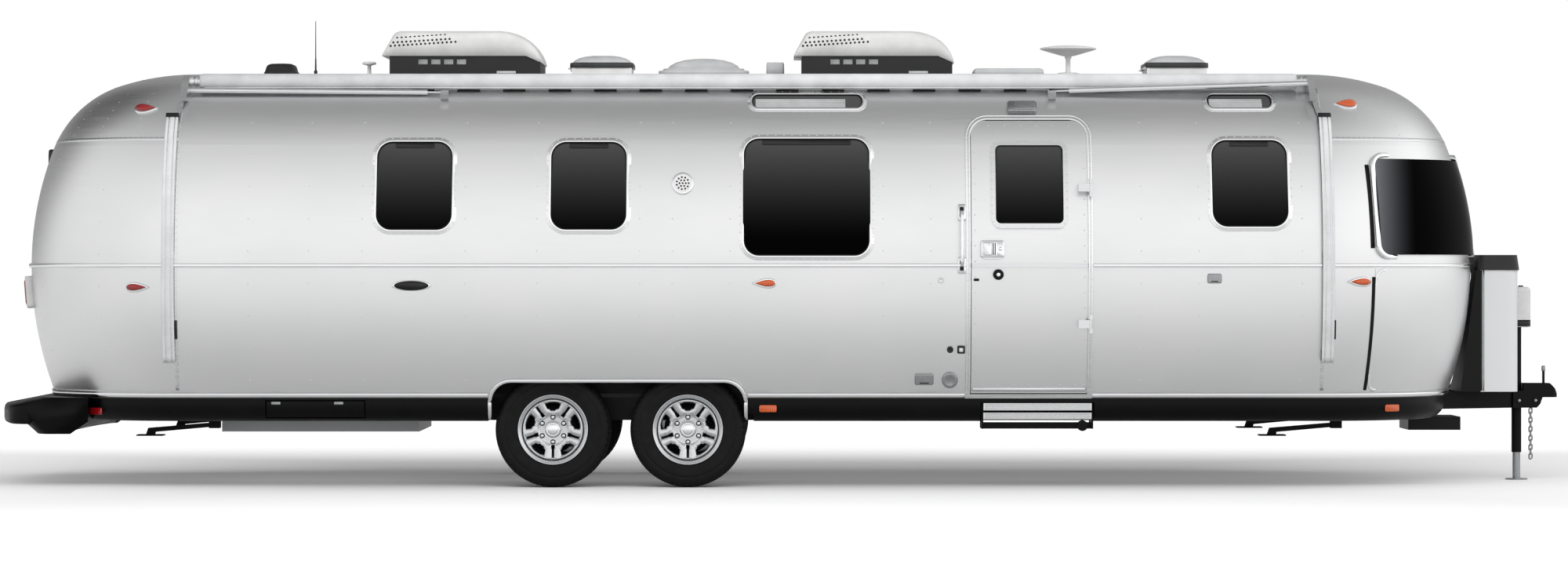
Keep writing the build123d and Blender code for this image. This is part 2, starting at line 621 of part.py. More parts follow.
with BuildPart() as door_skin:
    side_band(RIGHT, DOOR_REAR, DOOR_FRONT, 0.0, DOOR_LIP, SILL, ROOF_SEAM)
    extrude(doorway_face(-DOOR_FREE_GAP, -DOOR_GAP, -DOOR_GAP, -DOOR_GAP, DOOR_CORNER - DOOR_GAP),
            amount=BODY_WIDTH, mode=Mode.INTERSECT)

with BuildPart() as door_leaf:
    side_band(RIGHT, DOOR_REAR, DOOR_FRONT, DOOR_LIP, WALL, SILL, ROOF_SEAM)
    extrude(doorway_face(-DOOR_INNER_GAP, -DOOR_GAP, -DOOR_GAP, -DOOR_GAP, DOOR_CORNER - DOOR_GAP),
            amount=BODY_WIDTH, mode=Mode.INTERSECT)
    add(door_skin.part)
    with BuildSketch(Plane.XZ):
        with Locations(DOOR_WINDOW[:2]):
            RectangleRounded(DOOR_WINDOW[2], DOOR_WINDOW[3], DOOR_WINDOW_RADIUS)
    extrude(amount=BODY_WIDTH, mode=Mode.SUBTRACT)
finish(door_leaf, "door_leaf")

with BuildPart() as door_glass:
    side_band(RIGHT, DOOR_REAR, DOOR_FRONT, PANE_DEPTH, PANE_DEPTH + PANE_THICK, BELT_RAIL_HIGH, ROOF_SEAM)
    with BuildSketch(Plane.XZ):
        with Locations(DOOR_WINDOW[:2]):
            RectangleRounded(DOOR_WINDOW[2] - 2 * PANE_GAP, DOOR_WINDOW[3] - 2 * PANE_GAP,
                             DOOR_WINDOW_RADIUS - PANE_GAP)
    extrude(amount=BODY_WIDTH, mode=Mode.INTERSECT)
finish(door_glass, "door_glass")

LATCH = (DOOR_REAR + 140.0, 1504.0, 142.0, 122.0)
LATCH_PROUD = 22.0
LATCH_CORNER = 30.0
LOCK = (DOOR_REAR + 177.0, 1345.0, 32.0)

with BuildPart() as door_fittings:
    side_band(RIGHT, DOOR_REAR + DOOR_FREE_GAP, DOOR_FRONT - DOOR_GAP, -LATCH_PROUD, -SEAT_GAP, SILL, ROOF_SEAM)
    with BuildSketch(Plane.XZ):
        with Locations(DOOR_WINDOW[:2]):
            RectangleRounded(DOOR_WINDOW[2] + 2 * WINDOW_FRAME, DOOR_WINDOW[3] + 2 * WINDOW_FRAME,
                             DOOR_WINDOW_RADIUS + WINDOW_FRAME)
            RectangleRounded(DOOR_WINDOW[2] - 2 * FRAME_LAP, DOOR_WINDOW[3] - 2 * FRAME_LAP,
                             DOOR_WINDOW_RADIUS - FRAME_LAP, mode=Mode.SUBTRACT)
        with Locations(((DOOR_REAR + DOOR_FRONT) / 2, (BELT_RAIL_LOW + BELT_RAIL_HIGH) / 2)):
            Rectangle(DOOR_FRONT - DOOR_REAR - 2 * DOOR_FREE_GAP, BELT_RAIL_HIGH - BELT_RAIL_LOW)
        with Locations(LATCH[:2]):
            RectangleRounded(LATCH[2], LATCH[3], LATCH_CORNER)
        with Locations(LOCK[:2]):
            Circle(LOCK[2])
    extrude(amount=BODY_WIDTH, mode=Mode.INTERSECT)
    glass_stop = (FRAME_PROUD, BELT + 2 * LATCH[3], ROOF_SEAM)
    rail_stop = (RAIL_PROUD, BELT_RAIL_LOW, BELT_RAIL_HIGH)
    for proud, low, high in (glass_stop, rail_stop):
        side_band(RIGHT, DOOR_REAR, DOOR_FRONT, -2 * LATCH_PROUD, -proud, low, high, Mode.SUBTRACT)
    for height in HINGE_HEIGHTS:
        with Locations((HINGE_X - STRAP_LENGTH, HINGE_Y - PIN_RADIUS, height)):
            Box(STRAP_LENGTH, 2 * PIN_RADIUS, 2 * KNUCKLE_HALF, align=(Align.MIN, Align.MIN, Align.CENTER))
            Box(STRAP_FOOT, BODY_INSIDE / 2, 2 * KNUCKLE_HALF, align=(Align.MIN, Align.MIN, Align.CENTER))
        with Locations((HINGE_X, HINGE_Y, height)):
            Cylinder(KNUCKLE_RADIUS, 2 * KNUCKLE_HALF)
            Cylinder(PIN_RADIUS + RUNNING_GAP, 2 * KNUCKLE_HALF, mode=Mode.SUBTRACT)
    side_band(RIGHT, REAR_SEAM, FRONT_SEAM, -SEAT_GAP, BODY_INSIDE, BELLY_LOW + WALL, ROOF_SEAM, Mode.SUBTRACT)
finish(door_fittings, "door_fittings")

# Wheels, each turned about its own axle: local Z runs out from the body
FLANGE_RADIUS = 222.0
FLANGE_IN = TYRE_WIDTH / 2 - 16.0
FLANGE_OUT = FLANGE_IN + 8.0
BARREL_INNER = 191.0
DISC_LOW = 42.0
DISC_HIGH = 62.0
DRUM_RADIUS = 152.0
DRUM_LOW = -70.0
DRUM_HIGH = 24.0
CAP_RADIUS = 47.0
CAP_HIGH = 84.0
SPOKES = 5
WINDOW_INNER = 88.0
WINDOW_OUTER = 182.0
WINDOW_NARROW = 26.0
WINDOW_BROAD = 78.0
WINDOW_BOW = 14.0
WINDOW_ROUND = 12.0
SLIT_INNER = 102.0
SLIT_OUTER = 178.0
SLIT_NARROW = 5.0
SLIT_BROAD = 16.0
DISC_CLEAR = 4.0
BEAD_RADIUS = 205.0
TYRE_POINTS = (
    (BEAD_RADIUS + SEAT_GAP, FLANGE_IN - SEAT_GAP),
    (FLANGE_RADIUS + 4, FLANGE_IN - SEAT_GAP),
    (FLANGE_RADIUS + 20, TYRE_WIDTH / 2 - 6),
    (FLANGE_RADIUS + 62, TYRE_WIDTH / 2),
    (TYRE_RADIUS - 32, TYRE_WIDTH / 2 - 5),
    (TYRE_RADIUS - 9, TYRE_WIDTH / 2 - 22),
    (TYRE_RADIUS, TYRE_WIDTH / 2 - 46),
)

with BuildPart() as tyre_shape:
    with BuildSketch(Plane.XZ):
        with BuildLine():
            Polyline(*TYRE_POINTS, *[(r, -z) for r, z in reversed(TYRE_POINTS)], close=True)
        make_face()
    revolve(axis=Axis.Z)

with BuildPart() as rim_shape:
    with BuildSketch(Plane.XZ):
        with BuildLine():
            Polyline((BARREL_INNER, -FLANGE_OUT), (FLANGE_RADIUS, -FLANGE_OUT), (FLANGE_RADIUS, -FLANGE_IN),
                     (BEAD_RADIUS, -FLANGE_IN), (BEAD_RADIUS, FLANGE_IN), (FLANGE_RADIUS, FLANGE_IN),
                     (FLANGE_RADIUS, FLANGE_OUT), (BARREL_INNER, FLANGE_OUT), close=True)
        make_face()
        with BuildLine():
            Polyline((CAP_RADIUS, DISC_LOW), (BARREL_INNER + 2, DISC_LOW + 18),
                     (BARREL_INNER + 2, DISC_HIGH + 22), (CAP_RADIUS, DISC_HIGH), close=True)
        make_face()
        with BuildLine():
            Polyline((HUB_BORE, DRUM_LOW), (DRUM_RADIUS, DRUM_LOW), (DRUM_RADIUS, DRUM_HIGH),
                     (CAP_RADIUS, DRUM_HIGH), (CAP_RADIUS, CAP_HIGH - 8), (CAP_RADIUS - 10, CAP_HIGH),
                     (0, CAP_HIGH), (0, DISC_HIGH), (HUB_BORE, DISC_HIGH), close=True)
        make_face()
    revolve(axis=Axis.Z)
    with BuildSketch(Plane.XY.offset(DRUM_HIGH + DISC_CLEAR)) as openings:
        with PolarLocations(0, SPOKES, start_angle=90):
            Polygon((WINDOW_INNER, -WINDOW_NARROW), (WINDOW_OUTER - WINDOW_BOW, -WINDOW_BROAD),
                    (WINDOW_OUTER, 0), (WINDOW_OUTER - WINDOW_BOW, WINDOW_BROAD),
                    (WINDOW_INNER, WINDOW_NARROW), align=None)
        fillet(openings.vertices(), WINDOW_ROUND)
        with PolarLocations(0, SPOKES, start_angle=90 + 180 / SPOKES):
            Polygon((SLIT_INNER, -SLIT_NARROW), (SLIT_OUTER, -SLIT_BROAD), (SLIT_OUTER, SLIT_BROAD),
                    (SLIT_INNER, SLIT_NARROW), align=None)
    extrude(amount=FLANGE_OUT, mode=Mode.SUBTRACT)

WHEELS = (
    ("rear_right", AXLE_REAR, RIGHT),
    ("rear_left", AXLE_REAR, LEFT),
    ("front_right", AXLE_FRONT, RIGHT),
    ("front_left", AXLE_FRONT, LEFT),
)


def wheel_plane(x, side):
    """Wheel's middle plane, facing out from the body."""
    return Plane(origin=(x, side * WHEEL_TRACK / 2, TYRE_RADIUS), x_dir=(-side, 0, 0), z_dir=(0, side, 0))


for name, x, side in WHEELS:
    with BuildPart() as tyre:
        with Locations(wheel_plane(x, side)):
            add(tyre_shape.part)
    finish(tyre, f"tyre_{name}")
    with BuildPart() as rim:
        with Locations(wheel_plane(x, side)):
            add(rim_shape.part)
    finish(rim, f"rim_{name}")

# Torsion axles: square tube under the floor, trailing arms, spindles and brake plates
AXLE_TUBE = 76.0
AXLE_LEAD = 140.0
AXLE_INSET = 185.0
ARM_WIDTH = 50.0
ARM_HEIGHT = 60.0
PLATE_RADIUS = 140.0
PLATE_THICK = 6.0
PLATE_GAP = 10.0
AXLE_HALF = WHEEL_TRACK / 2 - AXLE_INSET

with BuildPart() as axles:
    for x in (AXLE_REAR, AXLE_FRONT):
        with Locations((x + AXLE_LEAD, 0, BELLY_LOW - AXLE_TUBE / 2)):
            Box(AXLE_TUBE, 2 * AXLE_HALF, AXLE_TUBE)
        for side in (RIGHT, LEFT):
            with Locations((x + AXLE_LEAD / 2, side * (AXLE_HALF + ARM_WIDTH / 2), TYRE_RADIUS)):
                Box(AXLE_LEAD + AXLE_TUBE, ARM_WIDTH, ARM_HEIGHT)
            hub = wheel_plane(x, side)
            plate_low = DRUM_LOW - PLATE_GAP - PLATE_THICK
            with BuildSketch(hub.offset(plate_low)) as brake_plate:
                Circle(PLATE_RADIUS)
            extrude(brake_plate.sketch, amount=PLATE_THICK)
            spindle_start = AXLE_HALF - WHEEL_TRACK / 2
            with BuildSketch(hub.offset(spindle_start)) as spindle:
                Circle(HUB_BORE - RUNNING_GAP)
            extrude(spindle.sketch, amount=DISC_LOW - spindle_start)
finish(axles, "axles")

# Tongue: two rails that run back into the floor, and the coupler between their ends
RAIL_END = JACK_X - JACK_TUBE - 4.0
RAIL_WALL = 6.0

with BuildPart() as a_frame:
    for side in (RIGHT, LEFT):
        with BuildSketch(rail_plane(side)) as tube:
            Rectangle(RAIL_WIDTH, RAIL_HEIGHT)
            Rectangle(RAIL_WIDTH - 2 * RAIL_WALL, RAIL_HEIGHT - 2 * RAIL_WALL, mode=Mode.SUBTRACT)
        extrude(tube.sketch, amount=RAIL_LENGTH)
    with Locations((RAIL_END, 0, RAIL_TOP)):
        Box(TONGUE_REACH, BODY_WIDTH, 2 * RAIL_TOP, align=(Align.MIN, Align.CENTER, Align.CENTER),
            mode=Mode.SUBTRACT)
        Box(2 * TONGUE_REACH, 2 * SEAT_GAP, 2 * RAIL_TOP, mode=Mode.SUBTRACT)
finish(a_frame, "a_frame")

COUPLER_NOSE = 48.0
BALL_X = NOSE - COUPLER_NOSE
COUPLER_HALF = 92.0
COUPLER_WAIST = 70.0
COUPLER_TOP = 632.0
BALL_LOW = 540.0
SOCKET_DEPTH = 60.0
LEVER_TOP = 745.0
LEVER_BACK = 40.0
LEVER_SIZE = (14.0, 20.0)

with BuildPart() as coupler:
    with BuildSketch(Plane.XY):
        with BuildLine():
            Polyline((RAIL_END, -COUPLER_HALF), (RAIL_END + 120, -COUPLER_WAIST), (BALL_X, -COUPLER_NOSE),
                     (BALL_X, COUPLER_NOSE), (RAIL_END + 120, COUPLER_WAIST), (RAIL_END, COUPLER_HALF),
                     close=True)
        make_face()
        with Locations((BALL_X, 0)):
            Circle(COUPLER_NOSE)
    extrude(amount=LEVER_TOP)
    with BuildSketch(Plane.XZ.offset(-TONGUE_REACH)):
        with BuildLine():
            Polyline((RAIL_END, RAIL_TOP - RAIL_HEIGHT), (RAIL_END, RAIL_TOP), (RAIL_END + 68, RAIL_TOP),
                     (RAIL_END + 74, COUPLER_TOP), (BALL_X - 4, COUPLER_TOP), (BALL_X + 30, COUPLER_TOP - 34),
                     (NOSE, BALL_LOW + 18), (NOSE, BALL_LOW), (BALL_X - 54, BALL_LOW),
                     (BALL_X - 70, BALL_LOW - 44), (RAIL_END + 160, RAIL_TOP - RAIL_HEIGHT), close=True)
        make_face()
    extrude(amount=2 * TONGUE_REACH, mode=Mode.INTERSECT)
    with Locations((BALL_X, 0, BALL_LOW)):
        Cylinder(BALL_RADIUS, SOCKET_DEPTH, align=(Align.CENTER, Align.CENTER, Align.MIN), mode=Mode.SUBTRACT)
    with Locations((JACK_X, 0, RAIL_TOP)):
        Cylinder(JACK_TUBE + SEAT_GAP, RAIL_TOP, mode=Mode.SUBTRACT)
    with Locations((BALL_X - LEVER_BACK, 0, COUPLER_TOP)):
        Box(*LEVER_SIZE, LEVER_TOP - COUPLER_TOP, align=(Align.CENTER, Align.CENTER, Align.MIN))
finish(coupler, "coupler")

# Tongue jack: fixed tube and motor head, and the leg that slides in the tube
JACK_TUBE_LOW = 180.0
JACK_HEAD_LOW = 1000.0
JACK_HEAD_HIGH = 1262.0
JACK_FOOT = 72.0
JACK_FOOT_THICK = 8.0
JACK_LEG_HIGH = 560.0
HEAD_SIZE = (116.0, 130.0)
HEAD_SHIFT = 28.0
HEAD_CORNER = 34.0
HEAD_ROUND = 26.0

with BuildPart() as jack_post:
    with BuildSketch(Plane.XY.offset(JACK_TUBE_LOW)):
        with Locations((JACK_X, 0)):
            Circle(JACK_TUBE)
            Circle(JACK_LEG + RUNNING_GAP, mode=Mode.SUBTRACT)
    extrude(amount=JACK_HEAD_LOW - JACK_TUBE_LOW)
finish(jack_post, "jack_post")

with BuildPart() as jack_head:
    with BuildSketch(Plane.XY.offset(JACK_HEAD_LOW)):
        with Locations((JACK_X + HEAD_SHIFT, 0)):
            RectangleRounded(*HEAD_SIZE, HEAD_CORNER)
    extrude(amount=JACK_HEAD_HIGH - JACK_HEAD_LOW)
    fillet(jack_head.edges().group_by(Axis.Z)[-1], HEAD_ROUND)
finish(jack_head, "jack_head")

with BuildPart() as jack_leg:
    with BuildSketch(Plane.XY):
        with Locations((JACK_X, 0)):
            Circle(JACK_FOOT)
    extrude(amount=JACK_FOOT_THICK)
    with BuildSketch(Plane.XY.offset(JACK_FOOT_THICK)):
        with Locations((JACK_X, 0)):
            Circle(JACK_LEG)
    extrude(amount=JACK_LEG_HIGH - JACK_FOOT_THICK)
finish(jack_leg, "jack_leg")

# Gas box on the tongue rails, with a lid that tips forward on a rod across the box's front
GAS_TOP = 1372.0
GAS_HALF = 330.0
GAS_LID_HIGH = 1470.0
GAS_EDGE = 60.0
GAS_WALL = 8.0
GAS_FOOT_IN = 60.0
GAS_HEAD_OUT = 42.0
GAS_JACK_GAP = 6.0
LID_OVERHANG = 10.0
LID_SIDE = 8.0
LID_BACK = 4.0
LID_TAPER = 8.0
LID_GAP = SEAT_GAP
HINGE_ROD = 4.0
HINGE_ROD_LENGTH = 420.0
HINGE_EAR = (24.0, 30.0, 9.0)
HINGE_EAR_SPREAD = 320.0
GAS_FRONT = JACK_X - JACK_TUBE - GAS_JACK_GAP


def hinge_rod(x, z, grow, mode=Mode.ADD):
    """A hinge rod across the caravan, or the groove for it."""
    with Locations(Location((x, 0, z), (90, 0, 0))):
        Cylinder(HINGE_ROD + grow, HINGE_ROD_LENGTH + 2 * grow, mode=mode)


def hinge_ears(x, z):
    """Ears that reach from a wall's top edge to the rod, their tops just under the lid."""
    with Locations((x, 0, z - SEAT_GAP)):
        with GridLocations(0, HINGE_EAR_SPREAD, 1, 2):
            Box(*HINGE_EAR, align=(Align.CENTER, Align.CENTER, Align.MAX))


with BuildPart() as gas_box:
    with BuildSketch(Plane.XZ.offset(-GAS_HALF)):
        with BuildLine():
            Polyline((BODY_FRONT - GAS_FOOT_IN, RAIL_TOP), (GAS_FRONT, RAIL_TOP), (GAS_FRONT, GAS_TOP),
                     (BODY_FRONT + GAS_HEAD_OUT, GAS_TOP), close=True)
        make_face()
    extrude(amount=2 * GAS_HALF)
    fillet(gas_box.edges().filter_by(Axis.Z), GAS_EDGE)
    offset(amount=-GAS_WALL, openings=gas_box.faces().sort_by(Axis.Z)[-1])
    hinge_ears(GAS_FRONT + LID_OVERHANG, GAS_TOP + LID_GAP)
    hinge_rod(GAS_FRONT + LID_OVERHANG, GAS_TOP + LID_GAP, 0.0)
finish(gas_box, "gas_box")

LID_REAR = BODY_FRONT + GAS_HEAD_OUT - LID_BACK
LID_LENGTH = GAS_FRONT + LID_OVERHANG - LID_REAR

with BuildPart() as gas_lid:
    with BuildSketch(Plane.XY.offset(GAS_TOP + LID_GAP)):
        with Locations((LID_REAR + LID_LENGTH / 2, 0)):
            RectangleRounded(LID_LENGTH, 2 * (GAS_HALF + LID_SIDE), GAS_EDGE)
    extrude(amount=GAS_LID_HIGH - GAS_TOP - LID_GAP, taper=LID_TAPER)
    hinge_rod(GAS_FRONT + LID_OVERHANG, GAS_TOP + LID_GAP, RUNNING_GAP, Mode.SUBTRACT)
finish(gas_lid, "gas_lid")

# Safety chains, hung in two bights from the coupler, each link a flat ring turned from its neighbour
CHAIN_LINKS = 11
LINK_LENGTH = 44.0
LINK_WIDTH = 26.0
LINK_WIRE = 7.0
CHAIN_TOP = RAIL_TOP - RAIL_HEIGHT - LINK_LENGTH / 2 - SEAT_GAP
CHAIN_PITCH = LINK_LENGTH - 2 * LINK_WIRE - SEAT_GAP
CHAIN_X = JACK_X + JACK_FOOT + 21.0
CHAIN_Y = 46.0
CHAIN_STAGGER = 10.0

with BuildPart() as safety_chains:
    for side in (RIGHT, LEFT):
        for number in range(CHAIN_LINKS):
            turn = Plane.XZ if number % 2 == 0 else Plane.YZ
            place = Vector(CHAIN_X + side * CHAIN_STAGGER, side * CHAIN_Y, CHAIN_TOP - number * CHAIN_PITCH)
            flat = Plane(origin=place, x_dir=turn.x_dir, z_dir=turn.z_dir)
            with BuildSketch(flat.offset(-LINK_WIRE / 2)) as link:
                Rectangle(LINK_WIDTH, LINK_LENGTH)
                chamfer(link.vertices(), LINK_WIRE)
                Rectangle(LINK_WIDTH - 2 * LINK_WIRE, LINK_LENGTH - 2 * LINK_WIRE, mode=Mode.SUBTRACT)
            extrude(link.sketch, amount=LINK_WIRE)
finish(safety_chains, "safety_chains")

# Roof: two cooling units under raked hoods, each on a dark base with louvres
COOLERS = (cooler_rear, cooler_front)
COOLER_END = COOLER_LENGTH / 2
COOLER_HALF = 345.0
HOOD_LOW = 118.0
HOOD_HIGH = 284.0
HOOD_RAKE = 89.0
HOOD_SLOPE = 275.0
HOOD_NOSE = 104.0
HOOD_NOSE_LOW = 72.0
HOOD_NOSE_HIGH = 88.0
HOOD_BROW = 96.0
HOOD_BROW_HIGH = 228.0
HOOD_CORNER = 50.0
HOOD_EDGE = 30.0
BASE_REAR_IN = 50.0
BASE_FRONT_IN = 11.0
BASE_SIDE_IN = 24.0
LOUVRES = 4
LOUVRE_FIRST = 252.0
LOUVRE_PITCH = 83.0
LOUVRE_SIZE = (66.0, 8.0, 35.0)
LOUVRE_RISE = 79.0

with BuildPart() as ac_bases:
    for x in COOLERS:
        with BuildSketch(Plane.XZ.offset(BASE_SIDE_IN - COOLER_HALF)) as foot:
            with Locations((x, CROWN - SEAT_GAP)):
                Polygon((-COOLER_END, 0), (COOLER_END, 0), (COOLER_END, HOOD_NOSE_LOW),
                        (COOLER_END - HOOD_NOSE, HOOD_LOW), (-COOLER_END, HOOD_LOW), align=None)
            with Locations((x + (BASE_REAR_IN - BASE_FRONT_IN) / 2, CROWN)):
                Rectangle(COOLER_LENGTH - BASE_REAR_IN - BASE_FRONT_IN, HOOD_HIGH,
                          align=(Align.CENTER, Align.MIN), mode=Mode.INTERSECT)
        extrude(foot.sketch, amount=2 * (COOLER_HALF - BASE_SIDE_IN))
    for x in COOLERS:
        for number in range(LOUVRES):
            louvre_x = x - LOUVRE_FIRST + number * LOUVRE_PITCH
            with Locations((louvre_x, 0, CROWN + LOUVRE_RISE)):
                with GridLocations(0, 2 * (COOLER_HALF - BASE_SIDE_IN), 1, 2):
                    Box(*LOUVRE_SIZE, mode=Mode.SUBTRACT)
finish(ac_bases, "ac_bases")


def hood_face(x):
    """Side view of a hood: raked back, flat top, front that curves down to a thin nose."""
    with BuildSketch(Plane.XZ.offset(-COOLER_HALF)) as face:
        with BuildLine():
            lip = (x + COOLER_END, CROWN + HOOD_NOSE_HIGH)
            brow = (x + COOLER_END - HOOD_BROW, CROWN + HOOD_BROW_HIGH)
            top = (x + COOLER_END - HOOD_SLOPE, CROWN + HOOD_HIGH)
            ThreePointArc(lip, brow, top)
            Polyline(top, (x - COOLER_END + HOOD_RAKE, CROWN + HOOD_HIGH), (x - COOLER_END, CROWN + HOOD_LOW),
                     (x + COOLER_END - HOOD_NOSE, CROWN + HOOD_LOW), (x + COOLER_END, CROWN + HOOD_NOSE_LOW),
                     lip)
        make_face()
        fillet(face.vertices().group_by(Axis.Y)[-1].sort_by(Axis.X)[0], HOOD_CORNER)
    return face.sketch


with BuildPart() as ac_shrouds:
    for x in COOLERS:
        with BuildPart(mode=Mode.PRIVATE) as hood:
            extrude(hood_face(x), amount=2 * COOLER_HALF)
            fillet(hood.faces().sort_by(Axis.Z)[-1].edges().filter_by(Axis.X), HOOD_EDGE)
        add(hood.part)
finish(ac_shrouds, "ac_shrouds")

# Roof vents: a box, and a domed lid that tilts on a rod along the box's rear edge
VENTS = (("rear", vent_rear), ("front", vent_front))
VENT_RIM = 12.0
VENT_BASE = 46.0
VENT_LIP = 34.0
VENT_HEIGHT = 132.0
VENT_CORNER = 40.0
DOME_RADIUS = 180.0
DOME_BULGE = 119.0
DOME_FLAT = 24.0
VENT_HALF = VENT_LENGTH / 2 - VENT_RIM
LID_LOW = CROWN + VENT_BASE + SEAT_GAP
DOME_LOW = LID_LOW + VENT_LIP

with BuildPart() as vent_bases:
    for name, x in VENTS:
        with Locations((x, 0, CROWN)):
            Box(2 * VENT_HALF, 2 * VENT_HALF, VENT_BASE, align=(Align.CENTER, Align.CENTER, Align.MIN))
        hinge_ears(x - VENT_LENGTH / 2, LID_LOW)
        hinge_rod(x - VENT_LENGTH / 2, LID_LOW, 0.0)
finish(vent_bases, "vent_bases")

with BuildPart() as vent_dome:
    with BuildSketch(Plane.XZ):
        with BuildLine():
            foot = (DOME_RADIUS, DOME_LOW)
            peak = (DOME_FLAT, CROWN + VENT_HEIGHT)
            ThreePointArc(foot, (DOME_RADIUS / 2, CROWN + DOME_BULGE), peak)
            Polyline(peak, (0, CROWN + VENT_HEIGHT), (0, DOME_LOW - VENT_LIP / 2),
                     (DOME_RADIUS, DOME_LOW - VENT_LIP / 2), foot)
        make_face()
    revolve(axis=Axis.Z)

for name, x in VENTS:
    with BuildPart() as vent_lid:
        with BuildSketch(Plane.XY.offset(LID_LOW)):
            with Locations((x, 0)):
                RectangleRounded(VENT_LENGTH, VENT_LENGTH, VENT_CORNER)
        extrude(amount=VENT_LIP)
        with Locations((x, 0, 0)):
            add(vent_dome.part)
        hinge_rod(x - VENT_LENGTH / 2, LID_LOW, RUNNING_GAP, Mode.SUBTRACT)
    finish(vent_lid, f"vent_lid_{name}")

# Small roof fittings: skylight, boxes, vent pipe, whip aerial and dish
SKYLIGHT_WIDTH = 400.0
SKYLIGHT_CORNER = 100.0
SKYLIGHT_RIM = 36.0
SKYLIGHT_STEP = 10.0
SKYLIGHT_HIGH = 114.0
SKYLIGHT_ROUND = 66.0
# Boxes, as middle along X, length, width and height
ROOF_BOXES = (
    (box_x, BOX_LENGTH, 118.0, 88.0),
    (pad_x, PAD_LENGTH, 300.0, 46.0),
    (pod_x, POD_LENGTH, 200.0, 82.0),
)
BOX_CORNER = 18.0
BOX_TAPER = 8.0
PIPE_RADIUS = 20.0
PIPE_HIGH = 96.0
PIPE_CAP_THICK = 22.0
WHIP_FOOT_HIGH = 40.0
WHIP_RADIUS = 5.0
WHIP_HIGH = 360.0
DISH_FOOT_HIGH = 24.0
MAST_RADIUS = 16.0
DISH_RADIUS = 185.0
DISH_LOW = 129.0
DISH_RIM_LOW = 174.0
DISH_RIM_HIGH = 184.0
DISH_BULGE = 195.0
DISH_FLAT = 30.0
DISH_HIGH = 200.0

with BuildPart() as dish_bowl:
    with BuildSketch(Plane.XZ):
        with BuildLine():
            rim = (DISH_RADIUS, DISH_RIM_HIGH)
            crest = (DISH_FLAT, DISH_HIGH)
            ThreePointArc(rim, (DISH_RADIUS / 2, DISH_BULGE), crest)
            Polyline(crest, (0, DISH_HIGH), (0, DISH_LOW), (DISH_FLAT, DISH_LOW), (DISH_RADIUS, DISH_RIM_LOW), rim)
        make_face()
    revolve(axis=Axis.Z)

with BuildPart() as roof_fittings:
    with BuildSketch(Plane.XY.offset(CROWN)):
        with Locations((skylight_x, 0)):
            RectangleRounded(SKYLIGHT_LENGTH, SKYLIGHT_WIDTH, SKYLIGHT_CORNER)
    extrude(amount=SKYLIGHT_RIM)
    with BuildSketch(Plane.XY.offset(CROWN + SKYLIGHT_RIM)) as pillow:
        with Locations((skylight_x, 0)):
            RectangleRounded(SKYLIGHT_LENGTH - 2 * SKYLIGHT_STEP, SKYLIGHT_WIDTH - 2 * SKYLIGHT_STEP,
                             SKYLIGHT_CORNER - SKYLIGHT_STEP)
    extrude(pillow.sketch, amount=SKYLIGHT_HIGH - SKYLIGHT_RIM)
    fillet(roof_fittings.faces().sort_by(Axis.Z)[-1].edges(), SKYLIGHT_ROUND)
    for x, length, width, height in ROOF_BOXES:
        with BuildSketch(Plane.XY.offset(CROWN)) as box_foot:
            with Locations((x, 0)):
                RectangleRounded(length, width, BOX_CORNER)
        extrude(box_foot.sketch, amount=height, taper=BOX_TAPER)
    with Locations((pipe_x, 0, CROWN)):
        Cylinder(PIPE_RADIUS, PIPE_HIGH, align=(Align.CENTER, Align.CENTER, Align.MIN))
    with Locations((pipe_x, 0, CROWN + PIPE_HIGH)):
        Cylinder(PIPE_CAP / 2, PIPE_CAP_THICK, align=(Align.CENTER, Align.CENTER, Align.MAX))
    with Locations((whip_x, 0, CROWN)):
        Cylinder(WHIP_FOOT / 2, WHIP_FOOT_HIGH, align=(Align.CENTER, Align.CENTER, Align.MIN))
        Cylinder(WHIP_RADIUS, WHIP_HIGH, align=(Align.CENTER, Align.CENTER, Align.MIN))
    with Locations((dish_x, 0, CROWN)):
        Cylinder(DISH_FOOT / 2, DISH_FOOT_HIGH, align=(Align.CENTER, Align.CENTER, Align.MIN))
        Cylinder(MAST_RADIUS, DISH_RIM_LOW, align=(Align.CENTER, Align.CENTER, Align.MIN))
        add(dish_bowl.part)
finish(roof_fittings, "roof_fittings")

# Awning, rolled up along the shoulder, its two arms lying on the wall
ROLLER_RADIUS = 50.0
ROLLER_Z = 2572.0
ROLLER_GAP = 8.0
ROLLER_REAR = REAR_SEAM + 105.0
ROLLER_FRONT = FRONT_SEAM - 127.0
JOURNAL_RADIUS = 34.0
AWNING_ARM = 74.0
AWNING_PROUD = 36.0
ARM_LOW = 805.0
ARM_HIGH = 2330.0
LINK_WIDTH_SIDE = 32.0
LINK_HIGH = 2510.0
CASTING_WIDTH = 44.0
CASTING_PROUD = 104.0
CASTING_LOW = 2440.0
CASTING_HIGH = 2610.0
CASTING_REAR = REAR_SEAM + 22.0
CASTING_FRONT = FRONT_SEAM - 43.0
RAFTER_LENGTH = 1532.0
# Middle along X of each arm and of the casting that its link leads to
AWNING_ENDS = ((REAR_SEAM - 41.0, CASTING_REAR), (FRONT_SEAM + 25.0, CASTING_FRONT))
# Rafter tubes under the roller: end in the casting and free end, each as X, distance out and height
RAFTERS = (
    ((CASTING_REAR, 46.0, 2514.0), (CASTING_REAR + RAFTER_LENGTH, 49.0, 2502.0)),
    ((CASTING_FRONT, 77.0, 2558.0), (CASTING_FRONT - RAFTER_LENGTH, 46.0, 2512.0)),
)
RAFTER_RADIUS = 16.0
RAFTER_ROD = 6.0
RAFTER_BRACKET = 50.0
BRACKET_REACH = 110.0
BRACKET_LOW = 2455.0
BRACKET_HIGH = 2512.0
BRACKET_PROUD = 44.0

